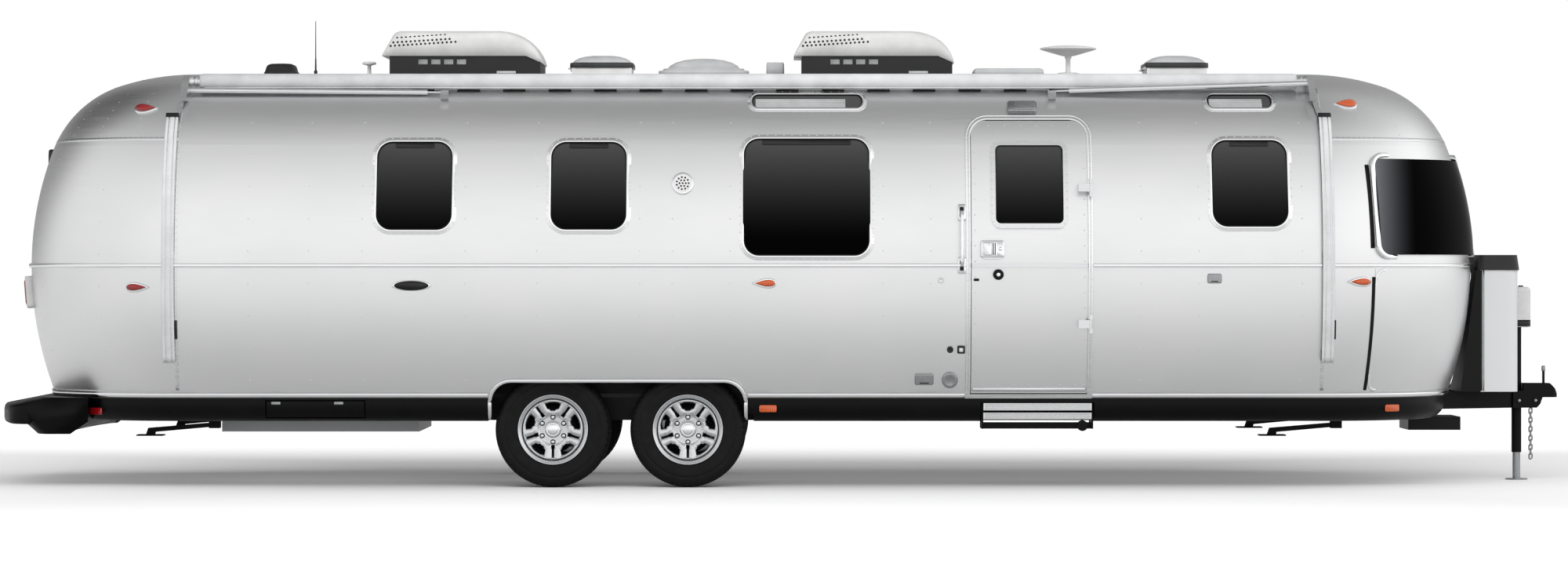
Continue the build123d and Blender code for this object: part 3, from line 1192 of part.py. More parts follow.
shoulder_place, shoulder_size = profile_arcs(0.0)[2][:2]
ROLLER_INWARD = shoulder_place[0] - sqrt(
    (shoulder_size + ROLLER_RADIUS + ROLLER_GAP) ** 2 - (ROLLER_Z - shoulder_place[1]) ** 2)
ROLLER_Y = ROLLER_INWARD - HALF_WIDTH

with BuildPart() as awning_roller:
    with BuildSketch(Plane.YZ.offset(ROLLER_REAR)):
        with Locations((ROLLER_Y, ROLLER_Z)):
            Circle(ROLLER_RADIUS)
    extrude(amount=ROLLER_FRONT - ROLLER_REAR)
    with BuildSketch(Plane.YZ.offset(CASTING_REAR)):
        with Locations((ROLLER_Y, ROLLER_Z)):
            Circle(JOURNAL_RADIUS)
    extrude(amount=CASTING_FRONT - CASTING_REAR)
finish(awning_roller, "awning_roller")

with BuildPart() as awning_links:
    side_band(RIGHT, AWNING_ENDS[0][0] - AWNING_ARM, AWNING_ENDS[1][0] + AWNING_ARM, -AWNING_PROUD,
              -RAIL_PROUD - SEAT_GAP, ARM_HIGH - AWNING_ARM, LINK_HIGH)
    with BuildSketch(Plane.XZ):
        for arm, casting in AWNING_ENDS:
            half = LINK_WIDTH_SIDE / 2
            Polygon((arm - half, ARM_HIGH - AWNING_ARM), (arm + half, ARM_HIGH - AWNING_ARM),
                    (casting + half, LINK_HIGH), (casting - half, LINK_HIGH), align=None)
    extrude(amount=BODY_WIDTH, mode=Mode.INTERSECT)


def rafter_rod(start, stop, radius):
    """A round bar between two points."""
    with BuildSketch(Plane(origin=start, z_dir=stop - start)) as section:
        Circle(radius)
    extrude(section.sketch, amount=(stop - start).length)


with BuildPart() as awning_arms:
    for arm, casting in AWNING_ENDS:
        arm_rear = arm - AWNING_ARM / 2
        arm_front = arm + AWNING_ARM / 2
        side_band(RIGHT, arm_rear, arm_front, -AWNING_PROUD, -RAIL_PROUD - SEAT_GAP, ARM_LOW, ARM_HIGH)
        for height in (ARM_LOW, BELT_RAIL_HIGH + SEAT_GAP, ARM_HIGH - AWNING_ARM):
            side_band(RIGHT, arm_rear, arm_front, -AWNING_PROUD, -SEAT_GAP, height, height + AWNING_ARM)
        side_band(RIGHT, casting - CASTING_WIDTH / 2, casting + CASTING_WIDTH / 2, -CASTING_PROUD, -SEAT_GAP,
                  CASTING_LOW, CASTING_HIGH)
    add(awning_links.part)
    for (fixed_x, fixed_out, fixed_z), (free_x, free_out, free_z) in RAFTERS:
        fixed_end = Vector(fixed_x, ROLLER_Y - fixed_out, fixed_z)
        free_end = Vector(free_x, ROLLER_Y - free_out, free_z)
        rod_end = free_end + (free_end - fixed_end).normalized() * BRACKET_REACH
        rafter_rod(fixed_end, free_end, RAFTER_RADIUS)
        rafter_rod(free_end, rod_end, RAFTER_ROD)
        side_band(RIGHT, rod_end.X - RAFTER_BRACKET / 2, rod_end.X + RAFTER_BRACKET / 2, -BRACKET_PROUD,
                  -SEAT_GAP, BRACKET_LOW, BRACKET_HIGH)
    with BuildSketch(Plane.YZ.offset(CASTING_REAR - SEAT_GAP)) as journal:
        with Locations((ROLLER_Y, ROLLER_Z)):
            Circle(JOURNAL_RADIUS + SEAT_GAP)
    extrude(journal.sketch, amount=CASTING_FRONT - CASTING_REAR + 2 * SEAT_GAP, mode=Mode.SUBTRACT)
finish(awning_arms, "awning_arms")

# Rear bumper: a bent plate with skid plates at its ends and a deck that slopes up to the body
BUMPER_HALF = HALF_WIDTH - 289.0
BUMPER_RADIUS = 220.0
BUMPER_PLATE = 8.0
BUMPER_LOW = 400.0
BUMPER_HIGH = 515.0
BUMPER_END = BODY_REAR + 471.0
DECK_HIGH = SILL_RAIL_LOW - 4.0
DECK_FOOT = BODY_REAR + SILL_INWARD - RAIL_PROUD
SKID_LOW = 335.0
SKID_REAR = TAIL + 354.0


def bumper_plan(inward):
    """Plan of the bumper's outside, moved inwards, long enough to pass under the body."""
    with BuildSketch(Plane.XY) as plan:
        with Locations((TAIL + inward, 0)):
            RectangleRounded(-TAIL, 2 * (BUMPER_HALF - inward), BUMPER_RADIUS - inward,
                             align=(Align.MIN, Align.CENTER))
    return plan.sketch


with BuildPart() as bumper_deck:
    with BuildSketch(Plane.XZ.offset(-BUMPER_HALF)):
        Polygon((TAIL, BUMPER_HIGH - BUMPER_PLATE), (DECK_FOOT, DECK_HIGH - BUMPER_PLATE),
                (BUMPER_END, DECK_HIGH - BUMPER_PLATE), (BUMPER_END, DECK_HIGH), (DECK_FOOT, DECK_HIGH),
                (TAIL, BUMPER_HIGH), align=None)
    extrude(amount=2 * BUMPER_HALF)
    extrude(bumper_plan(0.0), amount=SILL, mode=Mode.INTERSECT)
    extrude(under_outline(SILL_INWARD - SEAT_GAP), amount=SILL, mode=Mode.SUBTRACT)

with BuildPart() as bumper:
    extrude(bumper_plan(0.0), amount=SILL)
    extrude(bumper_plan(BUMPER_PLATE), amount=SILL, mode=Mode.SUBTRACT)
    with BuildSketch(Plane.XZ.offset(-BUMPER_HALF)):
        Polygon((TAIL, BUMPER_LOW), (SKID_REAR, BUMPER_LOW), (SKID_REAR + 90, SKID_LOW),
                (SKID_REAR + 228, SKID_LOW), (BUMPER_END, SKID_LOW + 78), (BUMPER_END, DECK_HIGH),
                (DECK_FOOT, DECK_HIGH), (TAIL, BUMPER_HIGH), align=None)
    extrude(amount=2 * BUMPER_HALF, mode=Mode.INTERSECT)
    add(bumper_deck.part)
finish(bumper, "bumper")

# Entry step, folded into a recess under the door
STEP_PLATE = 12.0
STEP_LOW = 372.0
STEP_CHEEK_IN = 30.0
STEP_BAR = 40.0
STEP_BAR_IN = 60.0
STEP_CAM = 34.0
STEP_MIDDLE = (STEP_REAR + STEP_FRONT) / 2
# Treads, as lower face, distance behind the step's face and thickness
STEP_TREADS = ((490.0, 0.0, 44.0), (434.0, 18.0, 40.0))

with BuildPart() as step_treads:
    for low, back, thick in STEP_TREADS:
        with Locations((STEP_MIDDLE, back - STEP_FACE, low)):
            Box(STEP_FRONT - STEP_REAR - 2 * STEP_PLATE, STEP_FACE - back - STEP_BACK, thick,
                align=(Align.CENTER, Align.MIN, Align.MIN))
finish(step_treads, "step_treads")

with BuildPart() as step_frame:
    for x in (STEP_REAR + STEP_PLATE / 2, STEP_FRONT - STEP_PLATE / 2):
        with Locations((x, STEP_CHEEK_IN - STEP_FACE, STEP_LOW)):
            Box(STEP_PLATE, STEP_FACE - STEP_BACK - STEP_CHEEK_IN, STEP_CEILING - STEP_LOW,
                align=(Align.CENTER, Align.MIN, Align.MIN))
    with Locations((STEP_MIDDLE, STEP_BAR_IN - STEP_FACE, STEP_LOW)):
        Box(STEP_FRONT - STEP_REAR, STEP_BAR, STEP_BAR, align=(Align.CENTER, Align.MIN, Align.MIN))
    with BuildSketch(Plane.XZ.offset(STEP_FACE - STEP_BAR_IN)) as cam:
        with Locations((STEP_FRONT - 2 * STEP_CAM, STEP_LOW + STEP_BAR / 2)):
            Circle(STEP_CAM)
    extrude(cam.sketch, amount=STEP_CHEEK_IN)
finish(step_frame, "step_frame")

# Stabilisers: ears under the floor, and a leg with a foot that swings down from each
STABILISER_INSET = 589.0
STABILISER_REAR = REAR_SEAM + 178.0
STABILISER_FRONT = FRONT_SEAM + 145.0
STABILISER_Y = HALF_WIDTH - STABILISER_INSET
PIVOT_Z = 384.0
LEG_LENGTH = 410.0
LEG_WIDTH = 44.0
LEG_HALF = 14.0
LEG_HEEL = 18.0
LEG_NECK = 20.0
FOOT_LENGTH = 170.0
FOOT_WIDTH = 130.0
FOOT_PLATE = 8.0
FOOT_LOW = 314.0
STABILISER_EAR = 10.0
EAR_LENGTH = 70.0
EAR_BELOW = 22.0
STABILISER_PIN = 8.0
EAR_CLEAR = 5.0
EAR_MIDDLE = LEG_WIDTH / 2 + EAR_CLEAR + STABILISER_EAR / 2
STABILISERS = (
    ("rear_right", STABILISER_REAR, RIGHT),
    ("rear_left", STABILISER_REAR, LEFT),
    ("front_right", STABILISER_FRONT, RIGHT),
    ("front_left", STABILISER_FRONT, LEFT),
)

with BuildPart() as stabiliser_mounts:
    for name, x, side in STABILISERS:
        for ear in (-1, 1):
            with Locations((x, side * STABILISER_Y + ear * EAR_MIDDLE, BELLY_LOW)):
                Box(EAR_LENGTH, STABILISER_EAR, BELLY_LOW - PIVOT_Z + EAR_BELOW,
                    align=(Align.CENTER, Align.CENTER, Align.MAX))
        with BuildSketch(Plane.XZ.offset(-side * STABILISER_Y - EAR_MIDDLE)) as pin:
            with Locations((x, PIVOT_Z)):
                Circle(STABILISER_PIN)
        extrude(pin.sketch, amount=2 * EAR_MIDDLE)
finish(stabiliser_mounts, "stabiliser_mounts")

for name, x, side in STABILISERS:
    with BuildPart() as stabiliser:
        y = side * STABILISER_Y
        with BuildSketch(Plane.XZ.offset(-y - LEG_WIDTH / 2)):
            with BuildLine():
                ankle = x - LEG_LENGTH
                sole = FOOT_LOW + FOOT_PLATE
                Polyline((x + LEG_HEEL, PIVOT_Z - LEG_HALF), (x + LEG_HEEL, PIVOT_Z + LEG_HALF),
                         (x - LEG_NECK, PIVOT_Z + LEG_HALF), (ankle - 15, sole + 42), (ankle - 30, sole),
                         (ankle + 25, sole), (ankle + 30, sole + 16), (x - LEG_NECK, PIVOT_Z - LEG_HALF),
                         close=True)
            make_face()
            with Locations((x, PIVOT_Z)):
                Circle(STABILISER_PIN + RUNNING_GAP, mode=Mode.SUBTRACT)
        extrude(amount=LEG_WIDTH)
        with Locations((x - LEG_LENGTH, y, FOOT_LOW)):
            Box(FOOT_LENGTH, FOOT_WIDTH, FOOT_PLATE, align=(Align.CENTER, Align.CENTER, Align.MIN))
    finish(stabiliser, f"stabiliser_{name}")

# Tank pan between the stabilisers and the tray under the tongue, as middle along X, length and width
UNDER_BOX_DEPTH = 86.0
PAN_CLEAR = 200.0
UNDER_BOXES = (
    (hatch_middle - 31.0, 1270.0, 2 * (STABILISER_Y - PAN_CLEAR)),
    (BODY_FRONT - 213.0, 340.0, 420.0),
)

with BuildPart() as under_boxes:
    for x, length, width in UNDER_BOXES:
        with Locations((x, 0, BELLY_LOW)):
            Box(length, width, UNDER_BOX_DEPTH, align=(Align.CENTER, Align.CENTER, Align.MAX))
finish(under_boxes, "under_boxes")

# Lamps: colour group, place along X, height, length and depth of each marker lamp on the corners and sides
LAMP_PROUD = 26.0
MARKERS = {
    "red_lamps": ((REAR_SEAM - 229.0, 2394.0), (REAR_SEAM - 242.0, 1266.0)),
    "amber_lamps": ((FRONT_SEAM + 180.0, 2422.0), (FRONT_SEAM + 227.0, 1300.0),
                    (middle_window - 262.0, 1291.0)),
}
MARKER_LENGTH = 140.0
MARKER_HEIGHT = 46.0
MARKER_TIP = 7.0
# Reflectors on the wrap: place along X and height
REFLECTORS = {
    "red_lamps": ((REAR_SEAM - 548.0, 478.0),),
    "amber_lamps": ((ARCH_FRONT + 153.0, 500.0), (FRONT_SEAM + 465.0, 500.0)),
}
REFLECTOR_LENGTH = 110.0
REFLECTOR_HEIGHT = 44.0
REFLECTOR_DEPTH = 60.0
REFLECTOR_PROUD = 5.0
TAIL_LAMP_TURNS = (6.5, 14.0)
TAIL_LAMP_LOW = 1131.0
TAIL_LAMP_HIGH = 1332.0
TAIL_LAMP_PROUD = 52.0


def marker_lamp(x, z):
    """A pair of teardrop marker lamps, one on each side, seated on the skin."""
    with BuildPart() as lamp:
        for side in (RIGHT, LEFT):
            for end in (REAR, FRONT):
                corner_band(end, side, 30.0, 90.0, -LAMP_PROUD, -SEAT_GAP, z - MARKER_LENGTH, z + MARKER_LENGTH)
            side_band(side, REAR_SEAM, FRONT_SEAM, -LAMP_PROUD, -SEAT_GAP, z - MARKER_LENGTH, z + MARKER_LENGTH)
        with BuildSketch(Plane.XZ.offset(-BODY_WIDTH)) as outline:
            with Locations((x - MARKER_LENGTH / 2 + MARKER_HEIGHT / 2, z)):
                Circle(MARKER_HEIGHT / 2)
            with Locations((x + MARKER_LENGTH / 2 - MARKER_TIP, z)):
                Circle(MARKER_TIP)
            make_hull()
        extrude(outline.sketch, amount=2 * BODY_WIDTH, mode=Mode.INTERSECT)
    return lamp.part


def reflector_place(x, z, side):
    """Place of a reflector on the wrap, turned to face out where the wrap goes round a corner."""
    end = REAR if x < 0 else FRONT
    past = max(0.0, REAR_SEAM - x, x - FRONT_SEAM)
    radius = CORNER_RADIUS - SILL_INWARD
    turn = degrees(asin(past / radius))
    y = FLAT + sqrt(radius**2 - past**2)
    return Location((x, side * y, z), (0, 0, -side * end * turn))


for group, places in MARKERS.items():
    with BuildPart() as reflectors:
        for x, z in REFLECTORS[group]:
            for side in (RIGHT, LEFT):
                with Locations(reflector_place(x, z, side)):
                    Box(REFLECTOR_LENGTH, 2 * REFLECTOR_PROUD, REFLECTOR_HEIGHT)
                    with Locations((0, -side * REFLECTOR_DEPTH / 2, 0)):
                        Box(REFLECTOR_LENGTH, REFLECTOR_DEPTH, REFLECTOR_HEIGHT)
        add(belly_block.part, mode=Mode.SUBTRACT)
    with BuildPart() as lamps:
        for x, z in places:
            add(marker_lamp(x, z))
        add(reflectors.part)
        if group == "red_lamps":
            for side in (RIGHT, LEFT):
                corner_band(REAR, side, *TAIL_LAMP_TURNS, -TAIL_LAMP_PROUD, -SEAT_GAP, TAIL_LAMP_LOW,
                            TAIL_LAMP_HIGH)
    finish(lamps, group)

# Small fittings on the right wall: discs as place and radius, plates as place and size
FITTING_PROUD = 14.0
DISCS = (
    ((second_window + middle_window - LARGE_WINDOW / 2 + SMALL_WINDOW / 2) / 2 - 15.0, 1915.0, 69.0),
    (DOOR_REAR - 182.0, 1311.0, 20.0),
    (DOOR_REAR - 54.0, 874.0, 18.0),
    (DOOR_REAR - 123.0, 874.0, 18.0),
    (DOOR_REAR - 123.0, 682.0, 50.0),
)
PLATES = (
    (DOOR_REAR - 285.0, 687.0, 118.0, 69.0),
    (front_window - 228.0, 1320.0, 90.0, 60.0),
    (rear_window - 13.0, 1276.0, 245.0, 69.0),
)
PLATE_CORNER = 14.0
GRAB_X = DOOR_REAR - 52.0
GRAB_LOW = 1424.0
GRAB_HIGH = 1750.0
GRAB_BAR = 22.0
GRAB_PROUD = 62.0
PORCH_REAR = DOOR_REAR + 246.0
PORCH_FRONT = PORCH_REAR + 186.0
PORCH_LOW = 2358.0
PORCH_HIGH = 2422.0
PORCH_PROUD = 40.0
CAMERA_HALF = 34.0
CAMERA_LOW = 2036.0
CAMERA_HIGH = 2164.0
CAMERA_PROUD = 38.0

with BuildPart() as wall_fittings:
    side_band(RIGHT, REAR_SEAM, FRONT_SEAM, -FITTING_PROUD, -SEAT_GAP, SILL_RAIL_HIGH, ROOF_SEAM)
    with BuildSketch(Plane.XZ):
        for x, z, radius in DISCS:
            with Locations((x, z)):
                Circle(radius)
        for x, z, width, height in PLATES:
            with Locations((x, z)):
                RectangleRounded(width, height, PLATE_CORNER)
    extrude(amount=BODY_WIDTH, mode=Mode.INTERSECT)
    grab_rear = GRAB_X - GRAB_BAR / 2
    grab_front = GRAB_X + GRAB_BAR / 2
    side_band(RIGHT, grab_rear, grab_front, -GRAB_PROUD, GRAB_BAR - GRAB_PROUD, GRAB_LOW, GRAB_HIGH)
    for low in (GRAB_LOW, GRAB_HIGH - GRAB_BAR):
        side_band(RIGHT, grab_rear, grab_front, -GRAB_PROUD, -SEAT_GAP, low, low + GRAB_BAR)
    side_band(RIGHT, PORCH_REAR, PORCH_FRONT, -PORCH_PROUD, -SEAT_GAP, PORCH_LOW, PORCH_HIGH)
    middle_band(REAR, CAMERA_HALF, -CAMERA_PROUD, -SEAT_GAP, CAMERA_LOW, CAMERA_HIGH)
finish(wall_fittings, "wall_fittings")
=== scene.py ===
"""Riveted aluminium travel caravan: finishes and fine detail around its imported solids.

Metres throughout, in the frame of the solids: +X to the coupler, -Y to the door side, +Z up.
"""

import bmesh
import bpy
import numpy as np
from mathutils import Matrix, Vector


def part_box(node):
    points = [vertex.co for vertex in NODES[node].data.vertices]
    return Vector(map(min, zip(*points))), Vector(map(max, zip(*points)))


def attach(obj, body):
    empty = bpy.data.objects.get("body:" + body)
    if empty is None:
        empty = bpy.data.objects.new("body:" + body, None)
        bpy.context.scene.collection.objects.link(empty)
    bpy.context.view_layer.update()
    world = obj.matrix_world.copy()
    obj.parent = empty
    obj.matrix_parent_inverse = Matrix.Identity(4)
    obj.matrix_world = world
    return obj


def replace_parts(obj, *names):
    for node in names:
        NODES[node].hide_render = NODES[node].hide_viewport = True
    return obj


bl_info = {
    "name": "Travel caravan",
    "version": (1, 0, 0),
    "blender": (4, 5, 0),
    "location": "View3D > Sidebar > Caravan",
    "description": "Finishes, rivets, wheels and fittings of a riveted aluminium travel caravan",
    "category": "Object",
}

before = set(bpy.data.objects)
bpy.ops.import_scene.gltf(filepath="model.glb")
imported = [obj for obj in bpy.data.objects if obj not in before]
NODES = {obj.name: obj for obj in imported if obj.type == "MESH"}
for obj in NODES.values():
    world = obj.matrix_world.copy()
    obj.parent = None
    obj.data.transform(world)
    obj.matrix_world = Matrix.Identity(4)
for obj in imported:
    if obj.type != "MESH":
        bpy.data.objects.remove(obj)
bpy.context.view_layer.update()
BODY = "caravan"
RIGHT, LEFT = -1, 1
REAR, FRONT = -1, 1
ALONG, OVER, UP = (1, 0, 0), (0, 1, 0), (0, 0, 1)

# Shape of the skin, the same arcs as the solids
HALF_WIDTH = 1.289
CORNER_RADIUS = 1.060
FLAT = HALF_WIDTH - CORNER_RADIUS
BELT = 1.400
LOWER_RADIUS = 2.305
UPPER_RADIUS = 2.077
UPPER_SWEEP = np.radians(21.5)
SHOULDER_RADIUS = 0.690
SHOULDER_END = np.radians(72.0)
REAR_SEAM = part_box("wall_right")[0].x
FRONT_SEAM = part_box("wall_right")[1].x
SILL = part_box("wall_right")[0].z
ROOF_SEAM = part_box("wall_right")[1].z
DOME_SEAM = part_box("cap_rear_upper")[0].z
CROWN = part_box("roof_skin")[1].z
SEAMS = {REAR: REAR_SEAM, FRONT: FRONT_SEAM}
# Gap between the skin and what is fixed on it
SEAT = 0.0003


def srgb(text):
    """Linear red, green, blue and alpha of a hex colour such as #C8CACC."""
    value = np.array([int(text[i:i + 2], 16) for i in (1, 3, 5)]) / 255.0
    linear = np.where(value <= 0.04045, value / 12.92, ((value + 0.055) / 1.055) ** 2.4)
    return (*linear.tolist(), 1.0)


# Mesh building

def unit(vectors):
    """Vectors scaled to length one."""
    return vectors / np.maximum(np.linalg.norm(vectors, axis=-1, keepdims=True), 1e-12)


def new_piece(name, points, faces, finish, slot, body=BODY, closed=True):
    """A mesh object from arrays of points and faces, riding on one body, closed shapes facing out."""
    mesh = bpy.data.meshes.new(name)
    lists = []
    for group in faces:
        lists.extend(np.asarray(group).tolist())
    mesh.from_pydata(np.asarray(points, float).tolist(), [], lists)
    if closed:
        shape = bmesh.new()
        shape.from_mesh(mesh)
        bmesh.ops.recalc_face_normals(shape, faces=shape.faces)
        shape.to_mesh(mesh)
        shape.free()
    mesh.polygons.foreach_set("use_smooth", np.full(len(mesh.polygons), True))
    mesh.materials.append(FINISHES[finish])
    mesh.update()
    piece = bpy.data.objects.new(name, mesh)
    bpy.context.scene.collection.objects.link(piece)
    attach(piece, body)
    return piece


def grid_faces(rows, columns, close_rows=False, close_columns=False):
    """Quads of a grid of points stored row by row, closed round either way if asked."""
    i = np.arange(rows if close_rows else rows - 1)
    j = np.arange(columns if close_columns else columns - 1)
    i, j = np.meshgrid(i, j, indexing="ij")
    low = i * columns
    high = ((i + 1) % rows) * columns
    right = (j + 1) % columns
    quads = np.stack([low + j, high + j, high + right, low + right], axis=-1)
    return quads.reshape(-1, 4)


def stacked(rows, count):
    """Faces of a stack of closed outlines of one count of points, with a face over the first and the last."""
    first = np.arange(count)[None]
    return [grid_faces(rows, count, False, True), first, first + (rows - 1) * count]


class Pile:
    """Points and faces of many small shapes, gathered into one mesh."""

    def __init__(self):
        self.points = []
        self.faces = []
        self.count = 0

    def add(self, points, faces):
        """Add one shape: its points and a list of face arrays that count from its own first point."""
        points = np.asarray(points, float).reshape(-1, 3)
        self.points.append(points)
        self.faces.extend(np.asarray(group) + self.count for group in faces)
        self.count += len(points)

    def piece(self, name, finish, slot, body=BODY):
        """The gathered mesh as one object."""
        return new_piece(name, np.concatenate(self.points), self.faces, finish, slot, body)


def sweep(path, side, up, section, closed=True):
    """A section carried along a path: point + a * side + b * up for each (a, b) of the section.

    path, side and up are arrays of one row per step; the loop is closed, and an open path is capped.
    """
    section = np.asarray(section, float)
    points = path[:, None] + section[None, :, :1] * side[:, None] + section[None, :, 1:2] * up[:, None]
    rows, columns = len(path), len(section)
    faces = [grid_faces(rows, columns, closed, True)]
    if not closed:
        faces.append(np.arange(columns)[None, ::-1])
        faces.append(((rows - 1) * columns + np.arange(columns))[None])
    return points.reshape(-1, 3), faces


def turned(profile, steps, centre, axis, across):
    """A profile of (radius, height) rows turned about an axis: radius * (cos, sin) + height * axis."""
    profile = np.asarray(profile, float)
    axis = unit(np.asarray(axis, float))
    across = unit(np.asarray(across, float))
    other = np.cross(axis, across)
    angle = np.linspace(0, 2 * np.pi, steps, endpoint=False)
    ring = np.cos(angle)[:, None] * across + np.sin(angle)[:, None] * other
    points = centre + profile[None, :, :1] * ring[:, None] + profile[None, :, 1:2] * axis
    return points.reshape(-1, 3), [grid_faces(steps, len(profile), True, False)]


def rounded_outline(width, height, radius, steps=8):
    """Points round a rectangle with rounded corners, counter-clockwise, about the origin."""
    turns = np.linspace(0, np.pi / 2, steps)
    corners = []
    for number, (sx, sy) in enumerate(((1, 1), (-1, 1), (-1, -1), (1, -1))):
        angle = turns + number * np.pi / 2
        corner = np.array([sx * (width / 2 - radius), sy * (height / 2 - radius)])
        corners.append(corner + radius * np.stack([np.cos(angle), np.sin(angle)], axis=-1))
    return np.concatenate(corners)


def block(low, high, edge=0.004):
    """A box between two corners with its edges chamfered."""
    low, high = np.asarray(low, float), np.asarray(high, float)
    middle, half = (low + high) / 2, (high - low) / 2
    edge = min(edge, half.min() * 0.9)
    outline = np.array([[1, 1], [-1, 1], [-1, -1], [1, -1]])
    rings = []
    for inset, level in ((edge, -half[2]), (0, edge - half[2]), (0, half[2] - edge), (edge, half[2])):
        corner = half[:2] - inset
        cut = []
        for sx, sy in outline:
            a = np.array([sx * corner[0], sy * (corner[1] - edge)])
            b = np.array([sx * (corner[0] - edge), sy * corner[1]])
            cut.extend([a, b] if sx * sy > 0 else [b, a])
        rings.append(np.column_stack([np.array(cut), np.full(8, level)]))
    points = middle + np.concatenate(rings)
    faces = [grid_faces(4, 8, False, True)[:, ::-1], np.arange(8)[None, ::-1], (24 + np.arange(8))[None]]
    return points, faces


# Places on the skin

def skin_arcs():
    """Centre (inward, height), radius and end slope of the profile's four arcs, from the sill up."""
    reach = UPPER_RADIUS - SHOULDER_RADIUS
    shoulder = np.array([UPPER_RADIUS - reach * np.cos(UPPER_SWEEP), BELT + reach * np.sin(UPPER_SWEEP)])
    inward = shoulder[0] - SHOULDER_RADIUS * np.cos(SHOULDER_END)
    roof_radius = (CORNER_RADIUS - inward) / np.cos(SHOULDER_END)
    roof = np.array([CORNER_RADIUS, shoulder[1] - (roof_radius - SHOULDER_RADIUS) * np.sin(SHOULDER_END)])
    return (
        (np.array([LOWER_RADIUS, BELT]), LOWER_RADIUS, 0.0),
        (np.array([UPPER_RADIUS, BELT]), UPPER_RADIUS, UPPER_SWEEP),
        (shoulder, SHOULDER_RADIUS, SHOULDER_END),
        (roof, roof_radius, np.pi / 2),
    )


SKIN_ARCS = skin_arcs()


def profile_at(height):
    """Inward distance and slope of the skin at each height: the arc whose span holds the height."""
    height = np.asarray(height, float)
    inward = np.zeros_like(height)
    slope = np.zeros_like(height)
    lowest = -np.inf
    for centre, radius, end in SKIN_ARCS:
        top = centre[1] + radius * np.sin(end)
        here = (height > lowest) & (height <= top + 1e-9)
        angle = np.arcsin(np.clip((height - centre[1]) / radius, -1, 1))
        slope = np.where(here, angle, slope)
        inward = np.where(here, centre[0] - radius * np.cos(angle), inward)
        lowest = top
    return inward, slope


def on_skin(side, x, z, proud=0.0):
    """Points on one side of the body, its straight wall and both rounded corners, and their outward normals.

    Past a seam by d, the wall goes round a circle of the skin's own radius r at that height, where
    the turn from the end's middle has the cosine d / r.
    """
    x, z, proud = np.broadcast_arrays(*(np.asarray(value, float) for value in (x, z, proud)))
    inward, slope = profile_at(z)
    radius = CORNER_RADIUS - inward
    past = np.clip(x - FRONT_SEAM, 0, None) - np.clip(REAR_SEAM - x, 0, None)
    along = np.clip(past / radius, -1, 1)
    across = np.sqrt(1 - along ** 2)
    normal = np.stack([along * np.cos(slope), side * across * np.cos(slope), np.sin(slope)], axis=-1)
    point = np.stack([x, side * (FLAT + radius * across), z], axis=-1)
    return point + normal * proud[..., None], normal


def on_corner(end, side, turn, z, proud=0.0):
    """Points on one rounded corner, by the turn in degrees from the end's middle, and their normals."""
    turn, z, proud = np.broadcast_arrays(*(np.asarray(value, float) for value in (turn, z, proud)))
    inward, slope = profile_at(z)
    turn = np.radians(turn)
    out = np.stack([end * np.cos(turn), side * np.sin(turn), np.zeros_like(turn)], axis=-1)
    rise = np.array([0.0, 0.0, 1.0])
    normal = out * np.cos(slope)[..., None] + rise * np.sin(slope)[..., None]
    reach = (CORNER_RADIUS - inward)[..., None]
    point = np.array([SEAMS[end], side * FLAT, 0.0]) + out * reach + rise * z[..., None]
    return point + normal * proud[..., None], normal


def outward(points, normals, closed=True):
    """Unit vectors in the surface, square to a path on it and to the right of its run."""
    if closed:
        run = np.roll(points, -1, axis=0) - np.roll(points, 1, axis=0)
    else:
        run = np.gradient(points, axis=0)
    return unit(np.cross(run, normals))


def ring(side, x, z, outline, section):
    """A section of (out, proud) rows carried round an outline drawn on the skin about a place."""
    path, normals = on_skin(side, x + outline[:, 0], z + outline[:, 1])
    return sweep(path, outward(path, normals) * -side, normals, section)


def strip(path, normals, section):
    """A section of (across, proud) rows carried along an open path on the skin."""
    return sweep(path, outward(path, normals, False), normals, section, closed=False)


def raised(side, x, z, outline, rows):
    """A low fitting on the skin: its outline at each (scale, proud) of the rows, closed top and bottom."""
    scale, proud = np.split(np.asarray(rows, float), 2, axis=1)
    points, _ = on_skin(side, x + scale * outline[:, 0], z + scale * outline[:, 1], proud)
    return points, stacked(len(rows), len(outline))


def plate(centre, along, up, outline, rows):
    """A low shape on a plane: its outline at each (scale, height) of the rows, closed top and bottom."""
    rows = np.asarray(rows, float)
    along, up = np.asarray(along, float), np.asarray(up, float)
    flat = outline[None, :, :1] * along + outline[None, :, 1:] * up
    points = np.asarray(centre, float) + rows[:, :1, None] * flat + rows[:, 1:2, None] * np.cross(along, up)
    return points.reshape(-1, 3), stacked(len(rows), len(outline))


def oval(length, height, steps=28):
    """Points round an ellipse."""
    angle = np.linspace(0, 2 * np.pi, steps, endpoint=False)
    return np.stack([length / 2 * np.cos(angle), height / 2 * np.sin(angle)], axis=-1)


def teardrop(length, height, steps=36):
    """Points round a drop that is blunt at one end and runs to a point along +X."""
    angle = np.linspace(0, 2 * np.pi, steps, endpoint=False)
    taper = np.abs(np.sin(angle / 2)) ** 1.1
    return np.stack([length / 2 * np.cos(angle), 0.62 * height * np.sin(angle) * taper], axis=-1)


def tube(path, radius, steps=10):
    """A round bar along a path: a circle of that radius square to the run at each point."""
    path = np.asarray(path, float)
    run = unit(np.gradient(path, axis=0))
    guide = np.where(np.abs(run[:, 2:3]) > 0.9, np.array([1.0, 0.0, 0.0]), np.array([0.0, 0.0, 1.0]))
    side = unit(np.cross(run, guide))
    angle = np.linspace(0, 2 * np.pi, steps, endpoint=False)
    section = radius * np.stack([np.cos(angle), np.sin(angle)], axis=-1)
    return sweep(path, side, np.cross(side, run), section, closed=False)


